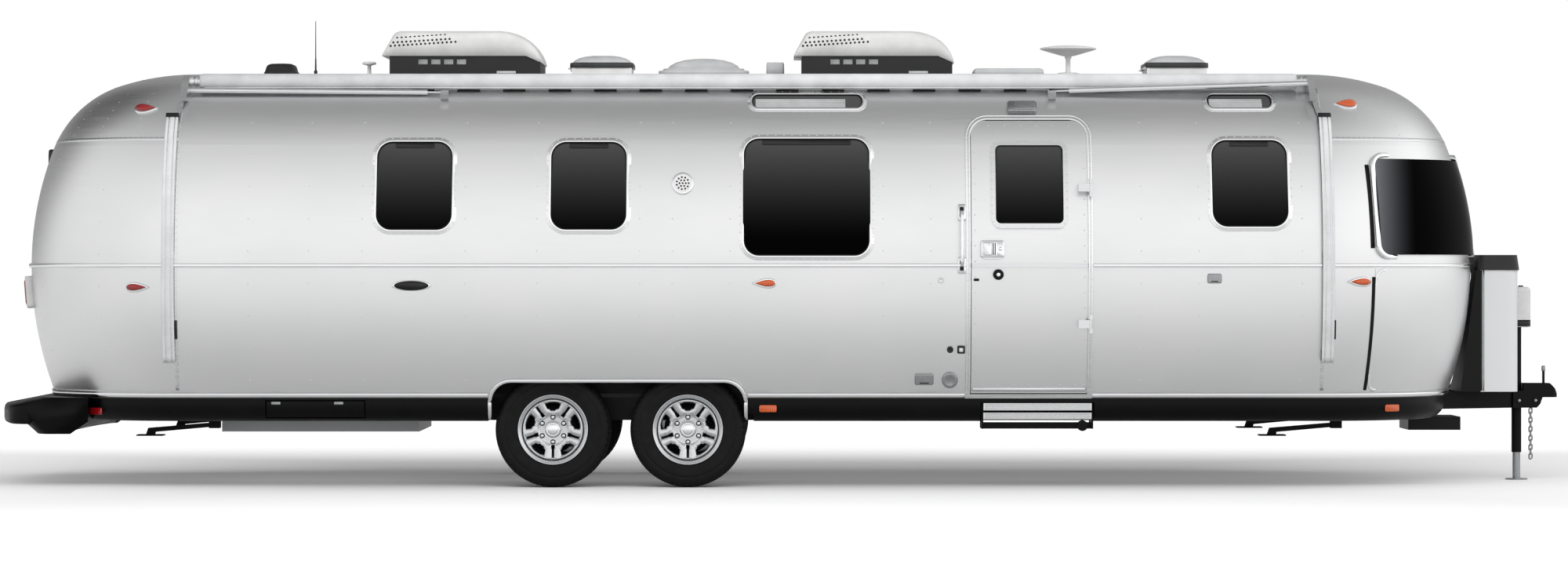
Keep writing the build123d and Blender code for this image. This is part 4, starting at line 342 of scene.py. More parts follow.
def rivet_heads(places, radius, height):
    """Low domes at all (points, normals) places: a base ring, a smaller ring and a tip, set on the normal."""
    rows = [np.concatenate([np.reshape(part, (-1, 3)) for part in parts]) for parts in zip(*places)]
    points, normals = rows
    guide = np.where(np.abs(normals[:, 2:3]) > 0.9, np.array([1.0, 0.0, 0.0]), np.array([0.0, 0.0, 1.0]))
    first = unit(np.cross(guide, normals))
    second = np.cross(normals, first)
    angle = np.linspace(0, 2 * np.pi, 6, endpoint=False)
    circle = np.stack([np.cos(angle), np.sin(angle)], axis=-1)
    shape = np.concatenate([np.column_stack([circle * radius, np.zeros(6)]),
                            np.column_stack([circle * radius * 0.7, np.full(6, height * 0.7)]),
                            [[0.0, 0.0, height]]])
    basis = np.stack([first, second, normals], axis=1)
    cloud = points[:, None] + shape @ basis
    start = (np.arange(len(points)) * len(shape))[:, None, None]
    quads = (start + grid_faces(2, 6, False, True)[None]).reshape(-1, 4)
    tips = np.stack([6 + np.arange(6), 6 + np.roll(np.arange(6), -1), np.full(6, 12)], axis=-1)
    return cloud.reshape(-1, 3), [quads, (start + tips[None]).reshape(-1, 3)]


def spaced(start, stop, pitch):
    """Evenly spaced values from start to stop at about that pitch."""
    return np.linspace(start, stop, max(2, int(round(abs(stop - start) / pitch)) + 1))


def spaced_round(outline, pitch):
    """Points at about that pitch round a closed outline."""
    loop = np.vstack([outline, outline[:1]])
    length = np.concatenate([[0.0], np.cumsum(np.linalg.norm(np.diff(loop, axis=0), axis=1))])
    place = np.linspace(0, length[-1], max(4, int(round(length[-1] / pitch))), endpoint=False)
    return np.stack([np.interp(place, length, loop[:, axis]) for axis in (0, 1)], axis=-1)


# Materials

def add_node(tree, kind, links=(), **settings):
    """Add a node, set its attributes and inputs by name, and link the given outputs to its inputs."""
    node = tree.nodes.new(kind)
    for name, value in settings.items():
        if hasattr(node, name):
            setattr(node, name, value)
        else:
            node.inputs[name.replace("_", " ")].default_value = value
    for source, target in links:
        tree.links.new(source, node.inputs[target])
    return node


def surface(name, colour, metallic=0.0, roughness=0.5, **sockets):
    """A new material with its main shader set, and that shader and its tree to add detail to."""
    material = bpy.data.materials.new(name)
    material.use_nodes = True
    tree = material.node_tree
    shader = tree.nodes["Principled BSDF"]
    shader.inputs["Base Color"].default_value = srgb(colour)
    shader.inputs["Metallic"].default_value = metallic
    shader.inputs["Roughness"].default_value = roughness
    for socket, value in sockets.items():
        shader.inputs[socket.replace("_", " ")].default_value = value
    material.diffuse_color = srgb(colour)
    return material, shader, tree


def grain(tree, size_mm, stretch=(1, 1, 1), detail=3.0):
    """Noise on object coordinates with features of about size_mm, drawn out by stretch along each axis."""
    place = add_node(tree, "ShaderNodeTexCoord")
    scale = tuple(1000.0 / (size_mm * s) for s in stretch)
    mapping = add_node(tree, "ShaderNodeMapping", [(place.outputs["Object"], "Vector")], Scale=scale)
    return add_node(tree, "ShaderNodeTexNoise", [(mapping.outputs["Vector"], "Vector")], Scale=1.0,
                    Detail=detail, Roughness=0.55)


def span(tree, noise, low, high):
    """The noise spread between two values."""
    return add_node(tree, "ShaderNodeMapRange", [(noise.outputs["Fac"], "Value")], From_Min=0.3, From_Max=0.7,
                    To_Min=low, To_Max=high)


def tone(tree, noise, dark, light):
    """A colour between two hex colours by the noise."""
    ramp = add_node(tree, "ShaderNodeValToRGB", [(noise.outputs["Fac"], "Fac")])
    ramp.color_ramp.elements[0].position = 0.32
    ramp.color_ramp.elements[0].color = srgb(dark)
    ramp.color_ramp.elements[1].position = 0.68
    ramp.color_ramp.elements[1].color = srgb(light)
    return ramp


def ripple(tree, shader, noise, height_mm, strength):
    """Bump from the noise, of about that height."""
    bump = add_node(tree, "ShaderNodeBump", [(noise.outputs["Fac"], "Height")], Strength=strength,
                    Distance=height_mm / 1000.0)
    tree.links.new(bump.outputs["Normal"], shader.inputs["Normal"])


def patchy(tree, shader, noise, dark, light, low, high):
    """Colour and roughness that both follow the noise, between two hex colours and two values."""
    tree.links.new(span(tree, noise, low, high).outputs["Result"], shader.inputs["Roughness"])
    tree.links.new(tone(tree, noise, dark, light).outputs["Color"], shader.inputs["Base Color"])


def position(tree):
    """The object's own X, Y and Z."""
    place = add_node(tree, "ShaderNodeTexCoord")
    return add_node(tree, "ShaderNodeSeparateXYZ", [(place.outputs["Object"], "Vector")])


def rolled_aluminium(name, dark, light, low, high):
    """Clear-coated rolled sheet: soft wide reflections, fine streaks along the roll, a slight sag."""
    material, shader, tree = surface(name, light, metallic=1.0)
    streak = grain(tree, 6.0, (40, 40, 1))
    tree.links.new(span(tree, streak, low, high).outputs["Result"], shader.inputs["Roughness"])
    cloud = grain(tree, 420.0, (1.6, 1, 1), 2.0)
    tree.links.new(tone(tree, cloud, dark, light).outputs["Color"], shader.inputs["Base Color"])
    sag = grain(tree, 260.0, (1.5, 1.5, 1), 1.0)
    ripple(tree, shader, sag, 2.0, 0.05)
    return material


def extruded_aluminium(name, dark, light, low, high):
    """Anodised extrusion: a bright satin metal with short draw lines."""
    material, shader, tree = surface(name, light, metallic=1.0)
    draw = grain(tree, 3.0, (60, 60, 1))
    patchy(tree, shader, draw, dark, light, low, high)
    return material


def cast_metal(name, dark, light, low, high):
    """Bare, plated or lacquered metal: a bright body with fine even grain and soft highlights."""
    material, shader, tree = surface(name, light, metallic=1.0)
    skin = grain(tree, 5.0)
    patchy(tree, shader, skin, dark, light, low, high)
    ripple(tree, shader, skin, 0.2, 0.15)
    return material


def coated_steel(name, dark, light, low, high, size_mm=14.0):
    """Sprayed black coat over steel or sheet: low relief, a half gloss and dusty patches."""
    material, shader, tree = surface(name, light, Specular_IOR_Level=0.14)
    peel = grain(tree, size_mm)
    patch = grain(tree, 180.0, (1, 1, 0.6), 4.0)
    patchy(tree, shader, patch, dark, light, low, high)
    ripple(tree, shader, peel, 0.4, 0.2)
    return material


def moulded_plastic(name, dark, light, low, high, size_mm=2.5):
    """Injection-moulded plastic: an even colour with fine spark grain and slight dust."""
    material, shader, tree = surface(name, light)
    spark = grain(tree, size_mm)
    dust = grain(tree, 140.0, (1, 1, 1), 4.0)
    patchy(tree, shader, dust, dark, light, low, high)
    ripple(tree, shader, spark, 0.15, 0.2)
    return material


def tyre_rubber(name, dark, light):
    """Carbon-black rubber: matt, with a dusty bloom and fine mould texture."""
    material, shader, tree = surface(name, light, roughness=0.6, Specular_IOR_Level=0.25)
    bloom = grain(tree, 60.0, (1, 1, 1), 5.0)
    fine = grain(tree, 3.0)
    patchy(tree, shader, bloom, dark, light, 0.55, 0.8)
    ripple(tree, shader, fine, 0.4, 0.25)
    return material


def glass_with_painted_reflection(name, dark, light, shine, axis, start, stop):
    """Tinted safety glass: a black body with a painted reflection that pales it from start to stop along an
    axis, thinly reflecting as well.
    """
    material, shader, tree = surface(name, dark, Specular_IOR_Level=shine)
    float_wave = grain(tree, 320.0, (1, 1, 1), 1.0)
    ripple(tree, shader, float_wave, 0.6, 0.05)
    tree.links.new(span(tree, float_wave, 0.03, 0.06).outputs["Result"], shader.inputs["Roughness"])
    # Painted reflection: the base colour pales from dark to light along the axis, towards the top of the
    # windows and towards the rear edge of the stone guards
    split = position(tree)
    share = add_node(tree, "ShaderNodeMapRange", [(split.outputs[axis], "Value")], From_Min=start,
                    From_Max=stop)
    painted_reflection_falloff = add_node(tree, "ShaderNodeMath", [(share.outputs["Result"], 0)], operation="POWER")
    painted_reflection_falloff.inputs[1].default_value = 1.9
    ramp = add_node(tree, "ShaderNodeValToRGB", [(painted_reflection_falloff.outputs[0], "Fac")])
    ramp.color_ramp.elements[0].color = srgb(dark)
    ramp.color_ramp.elements[1].color = srgb(light)
    tree.links.new(ramp.outputs["Color"], shader.inputs["Base Color"])
    return material


def two_tone(name, rear, front, split_at):
    """Moulded cover in two paints: one behind a sharp line across it and one before, both with fine grain."""
    material, shader, tree = surface(name, front, roughness=0.38, Specular_IOR_Level=0.2)
    split = position(tree)
    ahead = add_node(tree, "ShaderNodeMath", [(split.outputs["X"], 0)], operation="GREATER_THAN")
    ahead.inputs[1].default_value = split_at
    paint = add_node(tree, "ShaderNodeMix", [(ahead.outputs[0], "Factor")], data_type="RGBA")
    paint.inputs[6].default_value = srgb(rear)
    paint.inputs[7].default_value = srgb(front)
    tree.links.new(paint.outputs[2], shader.inputs["Base Color"])
    ripple(tree, shader, grain(tree, 3.0), 0.2, 0.2)
    return material


def lamp_lens(name, dark, light):
    """Coloured acrylic lens: a glossy body with moulded ribs in two tones."""
    material, shader, tree = surface(name, light, roughness=0.12, Coat_Weight=0.6, Coat_Roughness=0.05)
    place = add_node(tree, "ShaderNodeTexCoord")
    ribs = add_node(tree, "ShaderNodeTexWave", [(place.outputs["Object"], "Vector")], Scale=40.0,
                    Distortion=0.0, bands_direction="X")
    tree.links.new(tone(tree, ribs, dark, light).outputs["Color"], shader.inputs["Base Color"])
    ripple(tree, shader, ribs, 1.0, 0.35)
    return material


def make_finishes():
    """All finishes by their slot's plain name."""
    return {
        "skin": rolled_aluminium("rolled_aluminium_sheet", "#E2E3E3", "#E6E6E7", 0.30, 0.38),
        "trim": extruded_aluminium("anodised_extrusion", "#D2D3D4", "#E4E5E6", 0.22, 0.36),
        "bead": extruded_aluminium("polished_bead", "#ECEDEE", "#F6F6F7", 0.10, 0.18),
        "rivet": cast_metal("bucked_rivet_aluminium", "#D8D9DA", "#EAEBEC", 0.22, 0.34),
        "alloy": cast_metal("cast_alloy_wheel", "#C4C6C8", "#DADBDC", 0.24, 0.36),
        "chrome": cast_metal("chromed_steel", "#E2E4E6", "#F0F1F2", 0.06, 0.14),
        "zinc": cast_metal("zinc_plated_steel", "#8E9092", "#B2B4B6", 0.3, 0.5),
        "black_steel": coated_steel("black_chassis_paint", "#040405", "#0A0A0B", 0.38, 0.6),
        "wrap": coated_steel("black_under_wrap", "#020203", "#060607", 0.28, 0.5, 30.0),
        "rubber": tyre_rubber("tyre_rubber", "#060606", "#0E0E0F"),
        "gasket": tyre_rubber("gasket_rubber", "#050505", "#0C0C0C"),
        # Painted reflection in the light colours: the window glass pales upwards, and the stone guard pales
        # towards its rear edge
        "glass": glass_with_painted_reflection("tinted_glass_painted_reflection", "#010101", "#4C4C4C", 0.012, "Z", 1.54, 2.20),
        "guard": glass_with_painted_reflection("stone_guard_glass_painted_highlight", "#010101", "#6A6C70", 0.012, "X", 3.99, 3.72),
        "white": moulded_plastic("white_moulded_plastic", "#D2D2D1", "#E2E2E1", 0.3, 0.45),
        "grey": moulded_plastic("grey_moulded_plastic", "#B4B5B6", "#C4C5C6", 0.32, 0.5),
        "black": moulded_plastic("black_moulded_plastic", "#0A0A0B", "#151516", 0.35, 0.55),
        "smoke": moulded_plastic("smoked_vent_plastic", "#232425", "#343536", 0.2, 0.35),
        "red": lamp_lens("red_acrylic_lens", "#5C060C", "#AE1018"),
        "amber": lamp_lens("amber_acrylic_lens", "#A83404", "#E06410"),
        "pan": two_tone("tank_pan_grey_and_black", "#C4C6C8", "#08080A", 2.0),
        "gas": two_tone("gas_cover_silver_and_black", "#060607", "#E4E5E6", 4.515),
        "vinyl": moulded_plastic("rolled_awning_vinyl", "#CFD0D1", "#DFE0E1", 0.4, 0.55, 4.0),
        "ply": moulded_plastic("sealed_floor_board", "#1C1B1A", "#2A2927", 0.5, 0.7, 12.0),
    }


FINISHES = make_finishes()

# Finish of each solid, by node
NODE_FINISHES = {
    "skin": ("wall_right", "wall_left", "roof_skin", "cap_rear_lower", "cap_rear_upper", "cap_front_lower",
             "cap_front_upper", "door_leaf", "rock_guards"),
    "trim": ("belt_rail", "arch_trim", "lower_rail", "window_frames", "guard_frames", "door_frame",
             "door_fittings", "awning_arms", "step_treads"),
    "pan": ("under_boxes",),
    "glass": ("window_panes", "door_glass"),
    "guard": ("guard_panes",),
    "wrap": ("belly_pan", "belly_hatch", "wheel_wells", "bumper"),
    "black_steel": ("axles", "a_frame", "coupler", "jack_post", "step_frame", "stabiliser_mounts",
                    "stabiliser_rear_right", "stabiliser_rear_left", "stabiliser_front_right",
                    "stabiliser_front_left"),
    "zinc": ("jack_leg", "safety_chains"),
    "white": ("ac_shrouds", "vent_bases", "roof_fittings", "jack_head", "wall_fittings"),
    "smoke": ("vent_lid_rear", "vent_lid_front"),
    "black": ("ac_bases", "gas_lid"),
    "gas": ("gas_box",),
    "red": ("red_lamps",),
    "amber": ("amber_lamps",),
    "vinyl": ("awning_roller",),
    "ply": ("floor",),
    "rubber": ("tyre_rear_right", "tyre_rear_left", "tyre_front_right", "tyre_front_left"),
    "alloy": ("rim_rear_right", "rim_rear_left", "rim_front_right", "rim_front_left"),
}


class CARAVAN_OT_solids(bpy.types.Operator):
    """Give every solid its finish"""

    bl_idname = "caravan.solids"
    bl_label = "Finish the solids"

    def execute(self, context):
        for finish, names in NODE_FINISHES.items():
            for name in names:
                mesh = NODES[name].data
                mesh.materials.clear()
                mesh.materials.append(FINISHES[finish])
        return {"FINISHED"}


# Skin

# Windows as middle along X, middle height, width, height and corner radius of the opening
SIDE_WINDOWS = (
    (-2.322, 1.902, 0.486, 0.565, 0.100),
    (-1.227, 1.902, 0.486, 0.562, 0.100),
    (0.142, 1.831, 0.800, 0.746, 0.100),
    (2.926, 1.917, 0.486, 0.555, 0.100),
)
SHOULDER_WINDOWS = (
    (0.147, 2.440, 0.712, 0.098, 0.046),
    (2.887, 2.440, 0.420, 0.098, 0.046),
)
DOOR_WINDOW = (1.541, 1.912, 0.437, 0.506, 0.040)
# Places of the door's latch and lock, and how proud their plate stands
LATCH, LOCK, LATCH_BASE = (1.306, 1.504), (1.343, 1.345), 0.0221
FRAME_LAP = 0.006
DOORWAY_LOW, DOORWAY_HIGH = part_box("door_leaf")
ARCH_LOW, ARCH_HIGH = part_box("arch_trim")


class CaravanSkin(bpy.types.PropertyGroup):
    """Rivets and window frames"""

    head: bpy.props.FloatProperty(name="Rivet radius", description="Radius of a rivet's head", default=0.0048,
                                  unit="LENGTH")
    rise: bpy.props.FloatProperty(name="Rivet height", description="Height of a rivet's head", default=0.0022,
                                  unit="LENGTH")
    rib_pitch: bpy.props.FloatProperty(name="Rib pitch", description="Spacing of rivets along a hidden rib",
                                       default=0.203, unit="LENGTH")
    seam_pitch: bpy.props.FloatProperty(name="Seam pitch", description="Spacing of rivets along a seam",
                                        default=0.042, unit="LENGTH")
    frame_pitch: bpy.props.FloatProperty(name="Frame pitch", description="Spacing of rivets round a window",
                                         default=0.052, unit="LENGTH")
    frame_width: bpy.props.FloatProperty(name="Frame width", description="Width of a frame past its opening",
                                         default=0.024, unit="LENGTH")


def frame_section(width):
    """Section of a window frame: a raised bead at the opening and a thin flange outside it."""
    return ((-FRAME_LAP, 0.0005), (-FRAME_LAP, 0.0065), (-0.003, 0.0085), (0.004, 0.0085), (0.008, 0.0062),
            (0.010, 0.0042), (width - 0.002, 0.0036), (width, 0.002), (width, 0.0005))


def gasket_section():
    """Section of the black rubber between a frame and its glass."""
    return ((-0.013, -0.004), (-0.013, 0.002), (-0.010, 0.005), (-0.005, 0.005), (-0.005, -0.004))


class CARAVAN_OT_rivets(bpy.types.Operator):
    """Rivet the sheets along their ribs and seams"""

    bl_idname = "caravan.rivets"
    bl_label = "Rivets and seams"

    def execute(self, context):
        skin = context.scene.caravan_skin
        places = []
        straps = Pile()
        flat_strap = ((-0.012, 0.0002), (-0.011, 0.0013), (0.011, 0.0013), (0.012, 0.0002))
        arch = (ARCH_LOW.x - 0.03, ARCH_HIGH.x + 0.03, ARCH_HIGH.z + 0.03)
        for side in (RIGHT, LEFT):
            for x in self.ribs():
                z = np.arange(0.68, DOME_SEAM + 0.27, skin.rib_pitch)
                keep = ~((x > arch[0]) & (x < arch[1]) & (z < arch[2]))
                if side == RIGHT and DOORWAY_LOW.x - 0.06 < x < DOORWAY_HIGH.x + 0.06:
                    keep &= z > DOORWAY_HIGH.z + 0.06
                for wx, wz, width, height, _ in SIDE_WINDOWS + SHOULDER_WINDOWS:
                    inside = (abs(x - wx) < width / 2 + 0.04) & (np.abs(z - wz) < height / 2 + 0.04)
                    keep &= ~inside
                places.append(on_skin(side, x, z[keep]))
            for end in (REAR, FRONT):
                seam = SEAMS[end]
                for offset in (-0.009, 0.009):
                    level = spaced(SILL + 0.05, ROOF_SEAM, skin.seam_pitch)
                    places.append(on_skin(side, seam + offset, level))
                path, normals = on_skin(side, seam, spaced(SILL + 0.03, ROOF_SEAM, 0.04))
                straps.add(*strip(path, normals, flat_strap))
                path, normals = on_corner(end, side, np.linspace(0, 90, 46), DOME_SEAM)
                straps.add(*strip(path, normals, flat_strap))
                places.append(on_corner(end, side, np.linspace(1, 89, 40), DOME_SEAM + 0.006))
                for turn in (18, 36, 54, 72):
                    places.append(on_corner(end, side, turn, spaced(DOME_SEAM + 0.03, CROWN - 0.04, 0.05)))
                if end == REAR:
                    for turn in (30, 62):
                        places.append(on_corner(end, side, turn, np.arange(0.66, DOME_SEAM, skin.rib_pitch)))
        new_piece("skin_rivets", *rivet_heads(places, skin.head, skin.rise), "rivet", "aluminium_skin")
        straps.piece("seam_straps", "trim", "aluminium_skin")
        return {"FINISHED"}

    @staticmethod
    def ribs():
        """Places of the hidden ribs: at both edges of every window, and between."""
        edges = [x + end * (width / 2 + 0.08) for x, _, width, _, _ in SIDE_WINDOWS for end in (-1, 1)]
        return (*edges, -3.36, -2.98, -0.70, 0.92, 2.24)


# Half-round bead as (across, height) of its half width and height
BEAD = ((-1, 0), (-0.92, 0.45), (-0.70, 0.75), (-0.36, 0.94), (0, 1), (0.36, 0.94), (0.70, 0.75),
        (0.92, 0.45), (1, 0))
RAIL_PROUD = 0.012
GUARD_RADIUS = 1.060
# Turns in degrees between which the guards lie
GUARD_TURNS = (6.0, 72.0)
# Sections of the edges round a stone guard and round the sheet under it
GUARD_EDGE = ((0, 0.0005), (0, 0.027), (-0.004, 0.0315), (-0.026, 0.0315), (-0.030, 0.027), (-0.030, 0.0005))
SHEET_EDGE = ((0, 0.003), (0, 0.009), (-0.003, 0.011), (-0.011, 0.011), (-0.014, 0.009), (-0.014, 0.003))


def bead(half_width, height, base):
    """The bead's section at a size, standing on a base height over the skin."""
    return np.array(BEAD) * (half_width, height) + (0, base)


def round_end(end, z, start, stop):
    """A path round one end of the body at a height, from a place on the right side to one on the left."""
    seam = SEAMS[end]
    turn = np.linspace(0, 90, 24)
    share = np.array([0.0, 0.001, 0.02, 0.5, 0.98, 1.0])
    legs = (on_skin(RIGHT, start + (seam - start) * share, z), on_corner(end, RIGHT, turn[-2::-1], z),
            on_corner(end, LEFT, turn[:-1], z), on_skin(LEFT, stop + (seam - stop) * share[::-1], z))
    return [np.concatenate(rows) for rows in zip(*legs)]


def guard_ring(side, low, high, start, stop, radius, section):
    """A section carried round a rounded outline on a front corner, between two heights and two turns."""
    width = np.radians(stop - start) * GUARD_RADIUS
    outline = rounded_outline(width, high - low, radius, 10)
    turn = (start + stop) / 2 + np.degrees(outline[:, 0] / GUARD_RADIUS)
    path, normals = on_corner(FRONT, side, turn, (low + high) / 2 + outline[:, 1])
    return sweep(path, outward(path, normals) * side, normals, section)


class CARAVAN_OT_rails(bpy.types.Operator):
    """Lay polished beads on the rails, the wheel arches and the door's frame, and edge the front guards, with
    strips of painted shadow along their rear edges
    """

    bl_idname = "caravan.rails"
    bl_label = "Rails and guards"

    def execute(self, context):
        beads, frames, dark = Pile(), Pile(), Pile()
        before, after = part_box("door_frame")[0].x - 0.003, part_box("door_frame")[1].x + 0.003
        belt, rail = 1.402, 0.5875
        narrow, wide = (bead(half, 0.006, RAIL_PROUD - 0.0005) for half in (0.011, 0.013))
        beads.add(*strip(*round_end(REAR, belt, before, 0.0), narrow))
        beads.add(*strip(*round_end(FRONT, belt, after, 0.0), narrow))
        beads.add(*strip(*round_end(REAR, rail, ARCH_LOW.x, ARCH_LOW.x), wide))
        beads.add(*strip(*round_end(FRONT, rail, after, ARCH_HIGH.x), wide))
        beads.add(*strip(*on_skin(RIGHT, np.linspace(before, ARCH_HIGH.x, 60), rail), wide))
        for side in (RIGHT, LEFT):
            path = self.arch(ARCH_LOW.x + 0.014, ARCH_HIGH.x - 0.014, 0.573, ARCH_HIGH.z - 0.014, 0.134)
            beads.add(*strip(*on_skin(side, path[:, 0], path[:, 1]), narrow))
            low, high = (corner.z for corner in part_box("guard_frames"))
            frames.add(*guard_ring(side, low, high, *GUARD_TURNS, 0.098, GUARD_EDGE))
            # Painted shadow: a thin black strip along the stone guard's rear edge, where its raised edge
            # casts shade
            tread_gap_and_painted_shadow_strip = ((-0.012, 0.0005), (-0.012, 0.005), (0.012, 0.005), (0.012, 0.0005))
            dark.add(*strip(*on_corner(FRONT, side, 72.9, np.linspace(low + 0.07, high - 0.07, 12)), tread_gap_and_painted_shadow_strip))
            low, high = (corner.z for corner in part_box("rock_guards"))
            beads.add(*guard_ring(side, low, high, *GUARD_TURNS, 0.060, SHEET_EDGE))
            # Painted shadow: a thin black strip along the rock guard's rear edge, where its edge casts shade
            tread_gap_and_painted_shadow_strip = ((-0.009, 0.0005), (-0.009, 0.005), (0.009, 0.005), (0.009, 0.0005))
            dark.add(*strip(*on_corner(FRONT, side, 72.6, np.linspace(low + 0.004, high - 0.05, 16)), tread_gap_and_painted_shadow_strip))
        low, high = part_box("door_frame")
        for inset in (0.008, 0.027):
            path = self.arch(low.x + inset, high.x - inset, low.z + 0.01, high.z - inset, 0.140 - inset)
            beads.add(*strip(*on_skin(RIGHT, path[:, 0], path[:, 1]), bead(0.006, 0.010, 0.004)))
        beads.piece("polished_beads", "bead", "aluminium_trim")
        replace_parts(frames.piece("guard_rings", "bead", "aluminium_trim"), "guard_frames")
        dark.piece("guard_edge_painted_shadows", "gasket", "black_plastic")
        return {"FINISHED"}

    @staticmethod
    def arch(left, right, foot, top, radius):
        """Points up the left, over the top and down the right of an arch with rounded upper corners."""
        turn = np.linspace(0, np.pi / 2, 9)
        rise = foot + (top - radius - foot) * np.linspace(0, 1, 24) ** 2
        start = np.column_stack([np.full(24, left), rise])
        first = np.column_stack([left + radius * (1 - np.cos(turn)), top - radius * (1 - np.sin(turn))])
        half = np.concatenate([start[:-1], first])
        return np.concatenate([half, (half * (-1, 1) + (left + right, 0))[::-1]])


class CARAVAN_OT_windows(bpy.types.Operator):
    """Frame the windows and give them gaskets, vent bars and blinds"""

    bl_idname = "caravan.windows"
    bl_label = "Windows"

    def execute(self, context):
        skin = context.scene.caravan_skin
        frames, gaskets, bars, slats = Pile(), Pile(), Pile(), Pile()
        heads = []
        for side in (RIGHT, LEFT):
            for x, z, width, height, radius in SIDE_WINDOWS + SHOULDER_WINDOWS:
                outline = rounded_outline(width, height, radius, 10)
                frames.add(*ring(side, x, z, outline, frame_section(skin.frame_width)))
                gaskets.add(*ring(side, x, z, outline, gasket_section()))
                grow = 2 * skin.frame_width - 0.014
                flange = rounded_outline(width + grow, height + grow, radius + grow / 2, 10)
                spots = spaced_round(flange, skin.frame_pitch)
                heads.append(on_skin(side, x + spots[:, 0], z + spots[:, 1], 0.0036))
            for x, z, width, height, radius in SIDE_WINDOWS:
                bar = rounded_outline(width - 2.45 * radius, 0.026, 0.003, 2)
                rows = ((1, -0.003), (1, 0.003), (0.98, 0.004))
                bars.add(*raised(side, x, z + height / 2 - 0.028, bar, rows))
            for x, z, width, _, _ in SHOULDER_WINDOWS:
                for level in np.linspace(-0.036, 0.014, 6):
                    slat = rounded_outline(width * 0.80, 0.0082, 0.002, 2)
                    rows = ((1, -0.0029), (1, -0.0016), (0.99, -0.0012))
                    slats.add(*raised(side, x - width * 0.06, z + level, slat, rows))
        frames.add(*rivet_heads(heads, skin.head * 0.9, skin.rise))
        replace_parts(frames.piece("window_frame_rings", "bead", "aluminium_trim"), "window_frames")
        gaskets.piece("window_gaskets", "gasket", "black_plastic")
        bars.piece("window_vent_bars", "black", "black_plastic")
        slats.piece("shoulder_blinds", "grey", "white_plastic")
        return {"FINISHED"}


class CARAVAN_OT_door(bpy.types.Operator):
    """Trim the entry door: rivets, window gasket, sweep, latch and lock"""

    bl_idname = "caravan.door"
    bl_label = "Entry door"

    def execute(self, context):
        skin = context.scene.caravan_skin
        trim, dark, bright = Pile(), Pile(), Pile()
        x, z, width, height, radius = DOOR_WINDOW
        outline = rounded_outline(width, height, radius, 8)
        dark.add(*ring(RIGHT, x, z, outline, gasket_section()))
        flange = rounded_outline(width + 0.034, height + 0.034, radius + 0.017, 8)
        spots = spaced_round(flange, skin.frame_pitch)
        heads = [on_skin(RIGHT, x + spots[:, 0], z + spots[:, 1], 0.009)]
        left, right = DOORWAY_LOW.x + 0.022, DOORWAY_HIGH.x - 0.022
        low, high = DOORWAY_LOW.z + 0.05, DOORWAY_HIGH.z - 0.03
        for edge in (left, right):
            heads.append(on_skin(RIGHT, edge, spaced(low, high - 0.08, 0.1)))
        heads.append(on_skin(RIGHT, spaced(left + 0.09, right - 0.09, 0.1), high))
        heads.append(on_skin(RIGHT, spaced(left + 0.05, right - 0.05, 0.1), low))
        trim.add(*rivet_heads(heads, skin.head, skin.rise))
        strip_low = rounded_outline(right - left + 0.03, 0.022, 0.006, 3)
        rows = ((1, SEAT), (1, 0.006), (0.99, 0.009))
        trim.add(*raised(RIGHT, (left + right) / 2, low - 0.025, strip_low, rows))
        trim.piece("door_trim", "trim", "aluminium_trim", "door")
        # Plate, paddle, well, two stripes and bolt of the latch: pile, offset along X, outline and rows
        base = LATCH_BASE
        latch = (
            (bright, 0.0, rounded_outline(0.150, 0.106, 0.014, 5),
             ((1, SEAT), (1, base), (0.94, base + 0.004))),
            (bright, -0.034, rounded_outline(0.052, 0.080, 0.006, 4),
             ((1, base), (1, base + 0.010), (0.9, base + 0.013))),
            (bright, 0.012, rounded_outline(0.030, 0.084, 0.006, 4),
             ((1, base), (1, base + 0.0046), (0.96, base + 0.005))),
            (dark, 0.004, rounded_outline(0.006, 0.076, 0.002, 2), ((1, base), (1, base + 0.0056))),
            (dark, 0.016, rounded_outline(0.006, 0.076, 0.002, 2), ((1, base), (1, base + 0.0056))),
            (bright, 0.050, oval(0.024, 0.024, 18), ((1, base), (1, base + 0.008), (0.8, base + 0.010))),
        )
        for pile, offset, outline, rows in latch:
            pile.add(*raised(RIGHT, LATCH[0] + offset, LATCH[1], outline, rows))
        rows = ((1, SEAT), (1, base + 0.001), (0.86, base + 0.004))
        dark.add(*raised(RIGHT, *LOCK, oval(0.066, 0.066, 28), rows))
        rows = ((1, base), (1, base + 0.005), (0.7, base + 0.0065))
        bright.add(*raised(RIGHT, *LOCK, oval(0.026, 0.026, 16), rows))
        strike = rounded_outline(0.034, 0.016, 0.003, 3)
        dark.add(*raised(RIGHT, DOORWAY_LOW.x + 0.03, 1.312, strike, ((1, SEAT), (1, 0.003), (0.9, 0.004))))
        bright.piece("door_latch", "chrome", "bright_steel", "door")
        dark.piece("door_rubber_and_lock", "gasket", "black_plastic", "door")
        return {"FINISHED"}


# Wheels, about an axle along +Z with the outside of the wheel up

WHEELS = ("rear_right", "rear_left", "front_right", "front_left")
TYRE_SIDE = ((0.2056, 0.0935), (0.2225, 0.0947), (0.2262, 0.0985), (0.2320, 0.1000), (0.2375, 0.0988),
             (0.2480, 0.1040), (0.2600, 0.1078), (0.2730, 0.1100), (0.2850, 0.1108), (0.2990, 0.1106),
             (0.3005, 0.1090), (0.3035, 0.1090), (0.3050, 0.1102), (0.3200, 0.1086), (0.3340, 0.1052),
             (0.3450, 0.0990), (0.3530, 0.0915), (0.3585, 0.0830), (0.3620, 0.0740), (0.3636, 0.0670))
TYRE_RADIUS = 0.366
